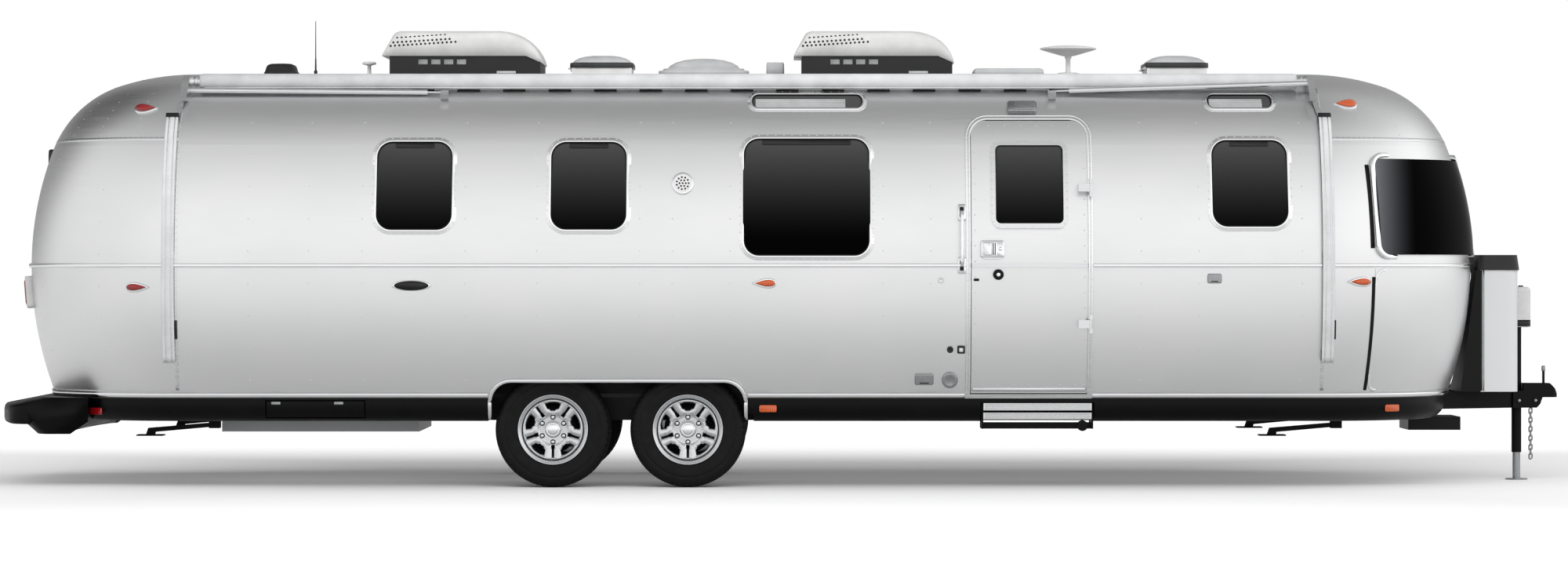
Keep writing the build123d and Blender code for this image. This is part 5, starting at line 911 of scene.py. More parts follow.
# Offsets from the tyre's middle between which a groove lies
GROOVES = ((0.0195, 0.0285), (0.0555, 0.0645))
TYRE_CROWN = (0.0648, 0.0640, 0.0560, 0.0552, 0.0420, 0.0288, 0.0280, 0.0200, 0.0192, 0.0090, 0.0)
BARREL = ((0.1910, -0.1030), (0.2215, -0.1030), (0.2215, -0.0965), (0.2045, -0.0935), (0.2045, 0.0935),
          (0.2215, 0.0965), (0.2215, 0.1022), (0.2180, 0.1028), (0.2140, 0.0985), (0.2030, 0.0945),
          (0.1930, 0.0885), (0.1910, 0.0760), (0.1910, -0.1030))
DRUM = ((0.0226, -0.0690), (0.1500, -0.0690), (0.1515, -0.0600), (0.1515, 0.0200), (0.1480, 0.0235),
        (0.1100, 0.0240), (0.1060, 0.0280), (0.0600, 0.0300), (0.0400, 0.0500))
HUB_CAP = ((0.0450, 0.0560), (0.0465, 0.0600), (0.0465, 0.0760), (0.0440, 0.0795), (0.0370, 0.0806),
           (0.0355, 0.0795), (0.0345, 0.0806), (0.0200, 0.0828), (0.0000, 0.0835))
NUT = ((0.0115, 0.0), (0.0115, 0.0150), (0.0090, 0.0180), (0.0, 0.0185))
NUT_SEAT = ((0.0165, 0.0), (0.0165, 0.0030), (0.0, 0.0032))
# Height of the nuts' seats on the spokes' outer face, and of the cap over its own profile
NUT_LEVEL, CAP_LIFT = 0.0795, 0.012


class CaravanWheels(bpy.types.PropertyGroup):
    """Tyres and rims"""

    blocks: bpy.props.IntProperty(name="Tread blocks", description="Blocks round a tyre", default=56)
    depth: bpy.props.FloatProperty(name="Tread depth", description="Depth of the grooves", default=0.0075,
                                   unit="LENGTH")
    disc: bpy.props.FloatProperty(name="Disc thickness", description="Thickness of the spokes", default=0.018,
                                  unit="LENGTH")
    lugs: bpy.props.IntProperty(name="Wheel nuts", description="Nuts round the cap", default=6)
    lug_circle: bpy.props.FloatProperty(name="Nut circle", description="Radius of the circle of nuts",
                                        default=0.078, unit="LENGTH")


def tyre_shape(blocks, depth):
    """A tyre: its section of (radius, offset) turned round the axle.

    The crown sinks by the depth in four grooves round it and in slanted gaps between blocks.
    """
    crown = np.array(TYRE_CROWN)
    half = np.vstack([TYRE_SIDE, np.column_stack([TYRE_RADIUS - 0.5 * crown ** 2, crown])])
    section = np.vstack([half, half[-2::-1] * (1, -1)])
    offset = section[:, 1]
    angle = np.linspace(0, 2 * np.pi, blocks * 6, endpoint=False)
    out = np.abs(offset)
    groove = np.any([(out > start) & (out < stop) for start, stop in GROOVES], axis=0)
    phase = angle[:, None] * blocks / (2 * np.pi) + offset[None] * 9
    tread_gap_and_painted_shadow_strip = (phase % 1 < 0.3) & (section[:, 0] > 0.350) & ((out > GROOVES[1][1]) | (out < GROOVES[0][0]))
    radius = section[:, 0] - depth * (groove[None] | tread_gap_and_painted_shadow_strip)
    points = np.stack([radius * np.cos(angle)[:, None], radius * np.sin(angle)[:, None],
                       np.broadcast_to(offset, radius.shape)], axis=-1)
    return points.reshape(-1, 3), [grid_faces(len(angle), len(section), True, False)]


def wheel_disc():
    """Five spokes split by slits, between five windows: rows out from the cap, columns along the openings.

    Each opening's half angle runs between two values along its length and draws in at both ends like
    a superellipse; the columns share out the angles between a window's middle, its edge,
    the slit's edge and the slit's middle.
    """
    rise = (1 - np.cos(np.linspace(0, np.pi, 17))) / 2
    radius = np.concatenate([np.linspace(0.044, 0.098, 4), 0.104 + 0.082 * rise, [0.1885, 0.1915]])

    def opening(start, stop, inner, outer):
        along = np.clip((radius - start) / (stop - start), 0, 1)
        ends = np.maximum((1 - np.abs(2 * along - 1) ** 5) ** 0.2, 0.45)
        return np.radians(inner + (outer - inner) * along) * ends

    window = opening(0.122, 0.186, 19.0, 20.0)[:, None]
    slit = opening(0.104, 0.184, 8.6, 4.2)[:, None]
    fifth = np.pi / 5
    spoke = window + (fifth - slit - window) * np.linspace(0, 1, 7)[1:]
    half = np.hstack([window * np.linspace(0, 1, 5), spoke, fifth - slit * np.array([0.5, 0.0])])
    sector = np.hstack([-half[:, :0:-1], half[:, :-1]])
    columns = sector.shape[1]
    angle = np.hstack([sector + np.pi / 2 + 2 * fifth * number for number in range(5)])
    place = np.arange(columns) - (columns // 2)
    face = np.interp(radius, [0.044, 0.096, 0.112, 0.150, 0.186, 0.1915],
                     [0.062, 0.063, 0.074, 0.080, 0.0850, 0.0865])
    edge = np.clip(np.abs(np.abs(place) - 7) / 3.0, 0, 1) ** 3 * 0.006
    open_rows = ((radius > 0.112) & (radius < 0.187))[:, None]
    level = face[:, None] - np.tile(edge, 5)[None] * open_rows
    points = np.stack([radius[:, None] * np.cos(angle), radius[:, None] * np.sin(angle), level], axis=-1)
    quads = grid_faces(len(radius), 5 * columns, False, True).reshape(len(radius) - 1, 5 * columns, 4)
    row = radius[:-1, None]
    column = np.tile(place, 5)[None]
    in_window = (row > 0.1219) & (row < 0.1855) & (column >= -4) & (column < 4)
    in_slit = (row > 0.1039) & (row < 0.1830) & ((column < 2 - columns // 2) | (column >= columns // 2 - 2))
    return points.reshape(-1, 3), [quads[~(in_window | in_slit)][:, ::-1]]


class CARAVAN_OT_wheels(bpy.types.Operator):
    """Make the four tyres and their alloy wheels"""

    bl_idname = "caravan.wheels"
    bl_label = "Wheels"

    def execute(self, context):
        wheels = context.scene.caravan_wheels
        nuts, seats = Pile(), Pile()
        nuts.add(*turned(HUB_CAP, 40, np.array([0.0, 0.0, CAP_LIFT]), UP, ALONG))
        for turn in np.linspace(0, 2 * np.pi, wheels.lugs, endpoint=False) + np.pi / 6:
            spot = np.array([np.cos(turn), np.sin(turn), 0.0]) * wheels.lug_circle + (0, 0, NUT_LEVEL)
            nuts.add(*turned(NUT, 6, spot, UP, ALONG))
            seats.add(*turned(NUT_SEAT, 18, spot, UP, ALONG))
        shapes = (
            ("treaded_tyre", tyre_shape(wheels.blocks, wheels.depth), "rubber", "tyre_rubber", True),
            ("wheel_disc", wheel_disc(), "alloy", "alloy_wheel", False),
            ("wheel_barrel", turned(BARREL, 72, np.zeros(3), UP, ALONG), "alloy", "alloy_wheel", True),
            ("brake_drum", turned(DRUM, 48, np.zeros(3), UP, ALONG), "black_steel", "black_steel", True),
            ("wheel_nuts", (np.concatenate(nuts.points), nuts.faces), "chrome", "bright_steel", True),
            ("nut_seats", (np.concatenate(seats.points), seats.faces), "black_steel", "black_steel", True),
        )
        for name in WHEELS:
            low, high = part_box("tyre_" + name)
            centre = np.array((low + high) / 2)
            side = np.sign(centre[1])
            basis = np.array([[-side, 0, 0], [0, 0, 1], [0, side, 0]])
            for label, (points, faces), finish, slot, closed in shapes:
                piece = new_piece(f"{label}_{name}", points @ basis + centre, faces, finish, slot,
                                  "wheel_" + name, closed)
                if label == "treaded_tyre":
                    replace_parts(piece, "tyre_" + name)
                if label == "wheel_disc":
                    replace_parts(piece, "rim_" + name)
                    thick = piece.modifiers.new("spoke_thickness", "SOLIDIFY")
                    thick.thickness = wheels.disc
                    thick.offset = -1.0
        return {"FINISHED"}


# Roof

HOOD_TOP = ((-0.519, 0.121), (-0.514, 0.136), (-0.446, 0.262), (-0.430, 0.276), (-0.405, 0.284),
            (0.244, 0.284), (0.300, 0.278), (0.350, 0.265), (0.400, 0.243), (0.440, 0.216),
            (0.475, 0.180), (0.500, 0.142), (0.514, 0.108), (0.519, 0.086))
HOOD_UNDER = ((-0.519, 0.118), (0.415, 0.118), (0.519, 0.072))
HOOD_HALF = ((-0.519, 0.318), (-0.490, 0.338), (-0.440, 0.345), (0.420, 0.345), (0.490, 0.330),
             (0.519, 0.300))
HOOD_POWER = 7.0
# Half the hood's length, and its lower line and half width where the holes are
HOOD_END, HOOD_BASE, HOOD_WIDE = 0.519, 0.118, 0.345
# Rows of holes in a hood's side: first place along it, height above the roof and number
HOLE_ROWS = ((-0.417, 0.234, 12), (-0.442, 0.204, 14), (-0.460, 0.182, 16))


def hood_shape(x):
    """A cooler's hood: at each station a superellipse arch between the side view's lower and upper lines."""
    top, under, half = (np.array(line) for line in (HOOD_TOP, HOOD_UNDER, HOOD_HALF))
    station = np.unique(np.concatenate([top[:, 0], under[:, 0], half[:, 0], np.linspace(-0.40, 0.24, 9)]))
    high, low, wide = (np.interp(station, line[:, 0], line[:, 1]) for line in (top, under, half))
    turn = np.linspace(0, np.pi, 41)
    across = np.sign(np.cos(turn)) * np.abs(np.cos(turn)) ** (2 / HOOD_POWER)
    rise = np.abs(np.sin(turn)) ** (2 / HOOD_POWER)
    level = CROWN + low[:, None] + (high - low)[:, None] * rise
    points = np.stack(np.broadcast_arrays(station[:, None] + x, wide[:, None] * across, level), axis=-1)
    return points.reshape(-1, 3), stacked(len(station), len(turn))


class CARAVAN_OT_coolers(bpy.types.Operator):
    """Make the hoods of the two roof coolers, with their holes and louvres"""

    bl_idname = "caravan.coolers"
    bl_label = "Roof coolers"

    def execute(self, context):
        hoods, holes, louvres = Pile(), Pile(), Pile()
        low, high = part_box("ac_shrouds")
        for x in (low.x + HOOD_END, high.x - HOOD_END):
            hoods.add(*hood_shape(x))
            for side in (RIGHT, LEFT):
                for first, level, count in HOLE_ROWS:
                    for number in range(count):
                        place = first + 0.028 * number
                        height = level + 0.00175 * number
                        arch = np.interp(place, *np.array(HOOD_TOP).T) - HOOD_BASE
                        share = min(1, (height - HOOD_BASE) / arch)
                        wide = HOOD_WIDE * (1 - share ** HOOD_POWER) ** (1 / HOOD_POWER)
                        centre = (x + place, side * (wide + 0.0002), CROWN + height)
                        hole = oval(0.015, 0.015, 10)
                        holes.add(*plate(centre, (-side, 0, 0), UP, hole, ((1, 0), (1, 0.0006))))
                for number in range(4):
                    for level in (-0.012, -0.004, 0.004, 0.012):
                        centre = (x - 0.252 + 0.083 * number, side * 0.3170, CROWN + 0.079 + level)
                        slat = rounded_outline(0.060, 0.0055, 0.001, 2)
                        louvres.add(*plate(centre, (-side, 0, 0), UP, slat, ((1, 0), (1, 0.0035))))
            louvres.add(*block((x + 0.225, -0.330, CROWN + 0.002), (x + 0.350, -0.322, CROWN + 0.021), 0.004))
        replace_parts(hoods.piece("cooler_hoods", "white", "white_plastic"), "ac_shrouds")
        holes.piece("cooler_holes", "smoke", "black_plastic")
        louvres.piece("cooler_louvres", "grey", "white_plastic")
        return {"FINISHED"}


VENT_SIZE = 0.414
VENT_LID = ((0.985, 0.0), (1, 0.003), (1, 0.026), (0.99, 0.032), (0.96, 0.034))
VENT_DOME = ((0.93, 0.0335), (0.92, 0.040), (0.86, 0.052), (0.74, 0.066), (0.56, 0.077), (0.34, 0.084),
             (0.10, 0.0857))
SKYLIGHT = ((1, 0.0), (1, 0.026), (0.99, 0.030), (0.90, 0.031), (0.895, 0.044), (0.80, 0.046), (0.74, 0.066),
            (0.62, 0.086), (0.44, 0.102), (0.22, 0.111), (0.05, 0.114))
POD = ((1, 0.0), (0.99, 0.022), (0.93, 0.030), (0.86, 0.058), (0.78, 0.071), (0.60, 0.079), (0.25, 0.082))
LOW_BOX = ((1, 0.0), (0.99, 0.6), (0.96, 0.9), (0.90, 1.0))
DISH = ((0.016, 0.129), (0.040, 0.132), (0.110, 0.152), (0.165, 0.168), (0.184, 0.175), (0.185, 0.180),
        (0.180, 0.184), (0.150, 0.190), (0.100, 0.196), (0.050, 0.199), (0.0, 0.200))
DISH_MAST = ((0.089, 0.0), (0.089, 0.010), (0.060, 0.022), (0.020, 0.024), (0.0155, 0.030), (0.0155, 0.110),
             (0.022, 0.118), (0.022, 0.134))
PIPE = ((0.019, 0.0), (0.013, 0.010), (0.012, 0.068), (0.030, 0.074), (0.045, 0.077), (0.046, 0.086),
        (0.036, 0.093), (0.0, 0.096))
WHIP = ((0.023, 0.0), (0.023, 0.008), (0.010, 0.014), (0.012, 0.030), (0.006, 0.040), (0.0045, 0.110),
        (0.0035, 0.120), (0.0022, 0.359), (0.0, 0.3598))


class CARAVAN_OT_roof(bpy.types.Operator):
    """Make the vents, skylight, dish, aerials and boxes on the roof"""

    bl_idname = "caravan.roof"
    bl_label = "Roof fittings"

    def execute(self, context):
        for end in ("rear", "front"):
            low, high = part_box("vent_lid_" + end)
            centre = ((low.x + high.x) / 2, 0.0, low.z)
            lid = plate(centre, ALONG, OVER, rounded_outline(VENT_SIZE, VENT_SIZE, 0.040, 6), VENT_LID)
            piece = new_piece("vent_lid_rim_" + end, *lid, "smoke", "black_plastic", "vent_" + end)
            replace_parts(piece, "vent_lid_" + end)
            dome = plate(centre, ALONG, OVER, rounded_outline(VENT_SIZE, VENT_SIZE, 0.090, 8), VENT_DOME)
            new_piece("vent_dome_" + end, *dome, "grey", "white_plastic", "vent_" + end)
        pale, dark, light = Pile(), Pile(), Pile()
        sky = rounded_outline(0.590, 0.400, 0.100, 8)
        pale.add(*plate((-0.524, 0, CROWN), ALONG, OVER, sky, SKYLIGHT))
        for x, length, width, height in ((-0.057, 0.118, 0.118, 0.088), (1.466, 0.460, 0.300, 0.046)):
            rows = np.array(LOW_BOX) * (1, height)
            pale.add(*plate((x, 0, CROWN), ALONG, OVER, rounded_outline(length, width, 0.018, 4), rows))
        dark.add(*plate((-3.292, 0, CROWN), ALONG, OVER, rounded_outline(0.220, 0.200, 0.040, 6), POD))
        dark.add(*turned(WHIP, 12, np.array([-3.069, 0, CROWN]), UP, ALONG))
        light.add(*turned(PIPE, 20, np.array([-2.718, 0, CROWN]), UP, ALONG))
        light.add(*turned(DISH, 56, np.array([1.862, 0, CROWN]), UP, ALONG))
        light.add(*turned(DISH_MAST, 24, np.array([1.862, 0, CROWN]), UP, ALONG))
        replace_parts(pale.piece("roof_boxes", "grey", "white_plastic"), "roof_fittings")
        dark.piece("roof_pod_and_whip", "black", "black_plastic")
        light.piece("roof_dish_and_pipe", "white", "white_plastic")
        return {"FINISHED"}


# Awning

# Radius and place along the roller of its bright end
ROLLER_END = ((0.033, 0.0), (0.033, 0.030), (0.028, 0.034), (0.028, 0.042), (0.033, 0.046), (0.033, 0.056),
              (0.028, 0.060), (0.028, 0.078))


class CARAVAN_OT_awning(bpy.types.Operator):
    """Roll up the awning: cloth on its roller, ribbed arms, end caps and black dashes of painted shadow under
    its rail
    """

    bl_idname = "caravan.awning"
    bl_label = "Awning"

    def execute(self, context):
        low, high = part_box("awning_roller")
        centre = np.array([0.0, (low.y + high.y) / 2, (low.z + high.z) / 2])
        left, right = low.x + 0.083, high.x - 0.084
        cloth, dark, pale, bright = Pile(), Pile(), Pile(), Pile()
        roll = [(0.0, left), (0.047, left), (0.0475, left + 0.012), (0.0495, left + 0.013)]
        roll += [(0.0495, right - 0.013), (0.0475, right - 0.012), (0.047, right), (0.0, right)]
        cloth.add(*turned(roll, 56, centre, ALONG, UP))
        for start, step in ((low.x + 0.004, 1), (high.x - 0.004, -1)):
            rows = np.array(ROLLER_END) * (1, step) + (0, start)
            bright.add(*turned(rows, 32, centre, ALONG, UP))
        hem = np.linspace(left + 0.03, right - 0.03, 24)
        hem_path = np.column_stack([hem, np.full(24, centre[1] - 0.027), np.full(24, centre[2] - 0.0395)])
        cloth.add(*tube(hem_path, 0.006, 8))
        # Painted shadow: black dashes under the rail, where the roller shades the gap to the roof
        for x in np.arange(-3.53, 2.25, 0.290):
            painted_shadow_dash = rounded_outline(0.144, 0.016, 0.003, 2)
            dark.add(*raised(RIGHT, x + 0.072, 2.517, painted_shadow_dash, ((1, SEAT), (1, 0.004), (0.99, 0.005))))
        for arm in (REAR_SEAM - 0.041, FRONT_SEAM + 0.025):
            for offset, half in ((-0.0285, 0.0085), (0.0, 0.016), (0.0285, 0.0085)):
                path, normals = on_skin(RIGHT, arm + offset, np.linspace(0.800, 2.315, 40), 0.036)
                face = ((-half, -0.034), (-half, 0.002), (0.002 - half, 0.0045), (half - 0.002, 0.0045),
                        (half, 0.002), (half, -0.034))
                pale.add(*strip(path, normals, face))
            cap = rounded_outline(0.080, 0.026, 0.004, 3)
            dark.add(*raised(RIGHT, arm, 2.327, cap, ((1, 0.002), (1, 0.041), (0.96, 0.0425))))
            slot = rounded_outline(0.012, 0.120, 0.005, 3)
            dark.add(*raised(RIGHT, arm + 0.046, 1.000, slot, ((1, 0.0005), (1, 0.012), (0.9, 0.014))))
        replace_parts(cloth.piece("awning_cloth_roll", "vinyl", "awning_cloth"), "awning_roller")
        bright.piece("awning_roller_ends", "trim", "aluminium_trim")
        dark.piece("awning_caps_and_painted_shadow_dashes", "black", "black_plastic")
        pale.piece("awning_arm_faces", "vinyl", "aluminium_trim")
        return {"FINISHED"}


# Lamps and fittings

MARKERS = (("red", (-4.047, 2.394)), ("red", (-4.060, 1.266)), ("amber", (3.565, 2.422)),
           ("amber", (3.612, 1.300)), ("amber", (-0.120, 1.291)))
REFLECTORS = (("red", (-4.366, 0.478)), ("amber", (-0.101, 0.500)), ("amber", (3.850, 0.500)))
# Distance of the under-wrap's side in from the skin's widest line
WRAP_INWARD = 0.160
# Places of the round grille and the plain oval badge, and along X of the grab handle
GRILLE, BADGE, HANDLE_X = (-0.636, 1.915), (-2.335, 1.276), 1.114


def on_wrap(side, x):
    """A place on the wrap's upright side and the directions along it and out of it."""
    past = max(0.0, x - FRONT_SEAM) - max(0.0, REAR_SEAM - x)
    radius = CORNER_RADIUS - WRAP_INWARD
    turn = past / radius
    out = np.array([turn, side * np.sqrt(1 - turn ** 2), 0.0])
    return np.array([x - past, side * FLAT, 0.0]) + out * radius, out


class CARAVAN_OT_lamps(bpy.types.Operator):
    """Set the marker lamps in their bezels, the reflectors and the tail lamps"""

    bl_idname = "caravan.lamps"
    bl_label = "Lamps"

    def execute(self, context):
        lenses = {"red": Pile(), "amber": Pile()}
        bezels, housings = Pile(), Pile()
        drop = teardrop(0.130, 0.046)
        for colour, (x, z) in MARKERS:
            point = 1 if colour == "red" else -1
            for side in (RIGHT, LEFT):
                rows = ((1, 0.004), (1, 0.012), (0.90, 0.019), (0.70, 0.024), (0.40, 0.0262))
                lenses[colour].add(*raised(side, x, z, drop * (point, 1), rows))
                rows = ((1.2, SEAT), (1.2, 0.006), (1.12, 0.010), (1.0, 0.011))
                bezels.add(*raised(side, x + 0.006 * point, z - 0.001, drop * (point, 1.25), rows))
        for colour, (x, z) in REFLECTORS:
            for side in (RIGHT, LEFT):
                place, out = on_wrap(side, x)
                along = np.cross(UP, out)
                shape = rounded_outline(0.110, 0.044, 0.010, 4)
                rows = ((1, -0.008), (1, 0.003), (0.92, 0.0048))
                lenses[colour].add(*plate(place + (0, 0, z), along, UP, shape, rows))
        for side in (RIGHT, LEFT):
            spot, normal = on_corner(REAR, side, 10.25, 1.2315)
            along = unit(np.cross(UP, normal))
            up = np.cross(normal, along)
            shape = rounded_outline(0.132, 0.196, 0.020, 5)
            rows = ((1, -0.012), (1, 0.034), (0.96, 0.041), (0.86, 0.043))
            housings.add(*plate(spot, along, up, shape * 1.06, rows))
            rows = ((1, 0.030), (0.97, 0.045), (0.8, 0.0495))
            lenses["red"].add(*plate(spot, along, up, shape * 0.84, rows))
        for colour, pile in lenses.items():
            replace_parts(pile.piece(colour + "_lenses", colour, colour + "_lens"), colour + "_lamps")
        bezels.piece("lamp_bezels", "chrome", "bright_steel")
        housings.piece("tail_lamp_housings", "white", "white_plastic")
        return {"FINISHED"}


class CARAVAN_OT_fittings(bpy.types.Operator):
    """Fix the grab handle, porch lamp, caps, inlets and plates to the walls"""

    bl_idname = "caravan.fittings"
    bl_label = "Wall fittings"

    def execute(self, context):
        bright, pale, dark, steel = Pile(), Pile(), Pile(), Pile()
        disc = oval(0.138, 0.138, 40)
        rows = ((1, SEAT), (1, 0.009), (0.95, 0.0125), (0.78, 0.0118))
        bright.add(*raised(RIGHT, *GRILLE, disc, rows))
        pale.add(*raised(RIGHT, *GRILLE, disc * 0.76, ((1, 0.0100), (1, 0.0124), (0.96, 0.0128))))
        for radius, count in ((0.0, 1), (0.020, 6), (0.038, 11)):
            for turn in np.linspace(0, 2 * np.pi, count, endpoint=False):
                spot = (GRILLE[0] + radius * np.cos(turn), GRILLE[1] + radius * np.sin(turn))
                dark.add(*raised(RIGHT, *spot, oval(0.0120, 0.0120, 10), ((1, 0.0125), (1, 0.0138))))
        badge = oval(0.245, 0.069, 44)
        rows = ((1, SEAT), (1, 0.007), (0.96, 0.010), (0.90, 0.0105))
        bright.add(*raised(RIGHT, *BADGE, badge, rows))
        dark.add(*raised(RIGHT, *BADGE, badge, ((0.88, 0.009), (0.88, 0.0112))))
        for z in (1.733, 1.402):
            bracket = rounded_outline(0.052, 0.105, 0.012, 5)
            bright.add(*raised(RIGHT, HANDLE_X, z, bracket, ((1, SEAT), (1, 0.010), (0.92, 0.015))))
            dark.add(*raised(RIGHT, HANDLE_X, z, bracket * (0.5, 0.62), ((1, 0.012), (1, 0.0165))))
        level = np.array([1.733, 1.733, 1.725, 1.705, 1.65, 1.57, 1.49, 1.43, 1.41, 1.402, 1.402])
        stand = np.array([0.012, 0.035, 0.046, 0.050, 0.050, 0.050, 0.050, 0.050, 0.046, 0.035, 0.012])
        path, _ = on_skin(RIGHT, HANDLE_X, level, stand)
        bright.add(*tube(path, 0.0105, 14))
        lamp = rounded_outline(0.186, 0.064, 0.014, 5)
        steel.add(*raised(RIGHT, 1.505, 2.390, lamp, ((1, SEAT), (1, 0.026), (0.97, 0.032))))
        steel.add(*raised(RIGHT, 1.520, 2.390, lamp * (0.74, 0.8), ((1, 0.030), (1, 0.036), (0.9, 0.0395))))
        caps = ((0.984, 1.311, 0.040, pale), (1.043, 0.874, 0.040, dark), (1.043, 0.682, 0.100, steel))
        for x, z, size, pile in caps:
            rows = ((1, SEAT), (1, 0.009), (0.92, 0.013), (0.60, 0.0136), (0.56, 0.0120))
            pile.add(*raised(RIGHT, x, z, oval(size, size, 28), rows))
        inlet = rounded_outline(0.048, 0.048, 0.006, 3)
        dark.add(*raised(RIGHT, 1.112, 0.874, inlet, ((1, SEAT), (1, 0.010), (0.94, 0.013))))
        pale.add(*raised(RIGHT, 1.112, 0.874, inlet * 0.5, ((1, 0.012), (1, 0.0145))))
        for x, z, width, height in ((0.881, 0.687, 0.118, 0.069), (2.698, 1.320, 0.090, 0.060)):
            cover = rounded_outline(width, height, 0.012, 5)
            steel.add(*raised(RIGHT, x, z, cover, ((1, SEAT), (1, 0.009), (0.96, 0.0125), (0.80, 0.0138))))
            dark.add(*raised(RIGHT, x, z - height * 0.30, cover * (0.5, 0.10), ((1, 0.012), (1, 0.0142))))
        eye = np.array([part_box("wall_fittings")[0].x + 0.030, 0.0, 2.100])
        hood = rounded_outline(0.066, 0.124, 0.020, 5)
        rows = ((1, -0.012), (1, 0.018), (0.9, 0.027), (0.6, 0.0295))
        dark.add(*plate(eye, (0, -1, 0), UP, hood, rows))
        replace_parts(pale.piece("wall_caps", "white", "white_plastic"), "wall_fittings")
        bright.piece("wall_bright_fittings", "chrome", "bright_steel")
        steel.piece("wall_steel_fittings", "zinc", "bright_steel")
        dark.piece("wall_dark_fittings", "black", "black_plastic")
        return {"FINISHED"}


# Tongue and underside

KNOB = ((0.0, -0.022), (0.010, -0.020), (0.013, -0.010), (0.013, 0.010), (0.010, 0.0165), (0.0, 0.0168))


def link_shape(centre, across):
    """One chain link: a round wire carried round a slot, its long way upright."""
    turn = np.linspace(0, np.pi, 9)
    arc = np.stack([0.0095 * np.cos(turn), 0.009 + 0.0095 * np.sin(turn)], axis=-1)
    loop = np.vstack([arc, -arc])
    up = np.array([0.0, 0.0, 1.0])
    across = np.asarray(across, float)
    path = centre + loop[:, :1] * across + loop[:, 1:] * up
    run = unit(np.roll(path, -1, axis=0) - np.roll(path, 1, axis=0))
    flat = np.broadcast_to(np.cross(across, up), path.shape)
    angle = np.linspace(0, 2 * np.pi, 7, endpoint=False)
    return sweep(path, np.cross(run, flat), flat, 0.0034 * np.stack([np.cos(angle), np.sin(angle)], axis=-1))


class CARAVAN_OT_tongue(bpy.types.Operator):
    """Hang the safety chains and dress the jack, the gas box and the coupler"""

    bl_idname = "caravan.tongue"
    bl_label = "Tongue"

    def execute(self, context):
        chains, dark, bright = Pile(), Pile(), Pile()
        low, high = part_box("safety_chains")
        for side, x in ((RIGHT, low.x + 0.013), (LEFT, high.x - 0.013)):
            for number in range(11):
                centre = np.array([x, side * 0.046, high.z - 0.022 - 0.0297 * number])
                chains.add(*link_shape(centre, OVER if number % 2 else ALONG))
        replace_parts(chains.piece("safety_chain_links", "zinc", "bright_steel"), "safety_chains")
        low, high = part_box("jack_head")
        middle = ((low.x + high.x) / 2, 0.0)
        collar = rounded_outline(high.x - low.x + 0.003, 0.133, 0.036, 6)
        dark.add(*plate((*middle, low.z - 0.002), ALONG, OVER, collar, ((0.8, 0), (1, 0.006), (1, 0.048))))
        plug = oval(0.034, 0.034, 20)
        dark.add(*plate((*middle, high.z), ALONG, OVER, plug, ((1, -0.004), (1, 0.006), (0.8, 0.009))))
        low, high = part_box("gas_box")
        for x, pile in ((4.520, dark), (4.534, bright)):
            for side in (RIGHT, LEFT):
                edge = rounded_outline(0.010, high.z - low.z - 0.01, 0.003, 3)
                centre = (x, side * high.y, (low.z + high.z) / 2)
                pile.add(*plate(centre, (-side, 0, 0), UP, edge, ((1, -0.002), (1, 0.002), (0.8, 0.0035))))
        low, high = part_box("coupler")
        for x in (low.x + 0.040, low.x + 0.150):
            for side in (RIGHT, LEFT):
                half = np.interp(x - low.x, [0, 0.120, 0.264], [0.092, 0.070, 0.048])
                spot = np.array([x, side * half - side * 0.004, 0.520])
                bright.add(*turned(NUT, 6, spot, (0, side, 0), ALONG))
        knob = np.array([high.x - 0.088, 0.0, 0.728])
        bright.add(*turned(KNOB, 16, knob, UP, ALONG))
        dark.piece("tongue_dark_fittings", "black", "black_plastic")
        bright.piece("coupler_bolts", "zinc", "bright_steel")
        return {"FINISHED"}


# Upright profile of the bumper as shares of its length from the tail and of its height
BUMPER_PROFILE = (
    (0.030, 0.28), (0.010, 0.31), (0.0, 0.40), (0.0, 0.62), (0.006, 0.72), (0.022, 0.78), (0.40, 0.99),
    (0.43, 1.0), (0.97, 1.0), (1.0, 0.98), (1.0, 0.34), (0.71, 0.0), (0.36, 0.0), (0.22, 0.29),
    (0.16, 0.36), (0.09, 0.36), (0.065, 0.30), (0.05, 0.27),
)
# Radius of the bumper's bow, and of its rounded ends
BOW_RADIUS, BUMPER_END = 2.99, 0.10
# Radius of the bend in an arch's leg, and the height where it begins
LEG_BEND, LEG_BEND_Z = 0.110, 0.528


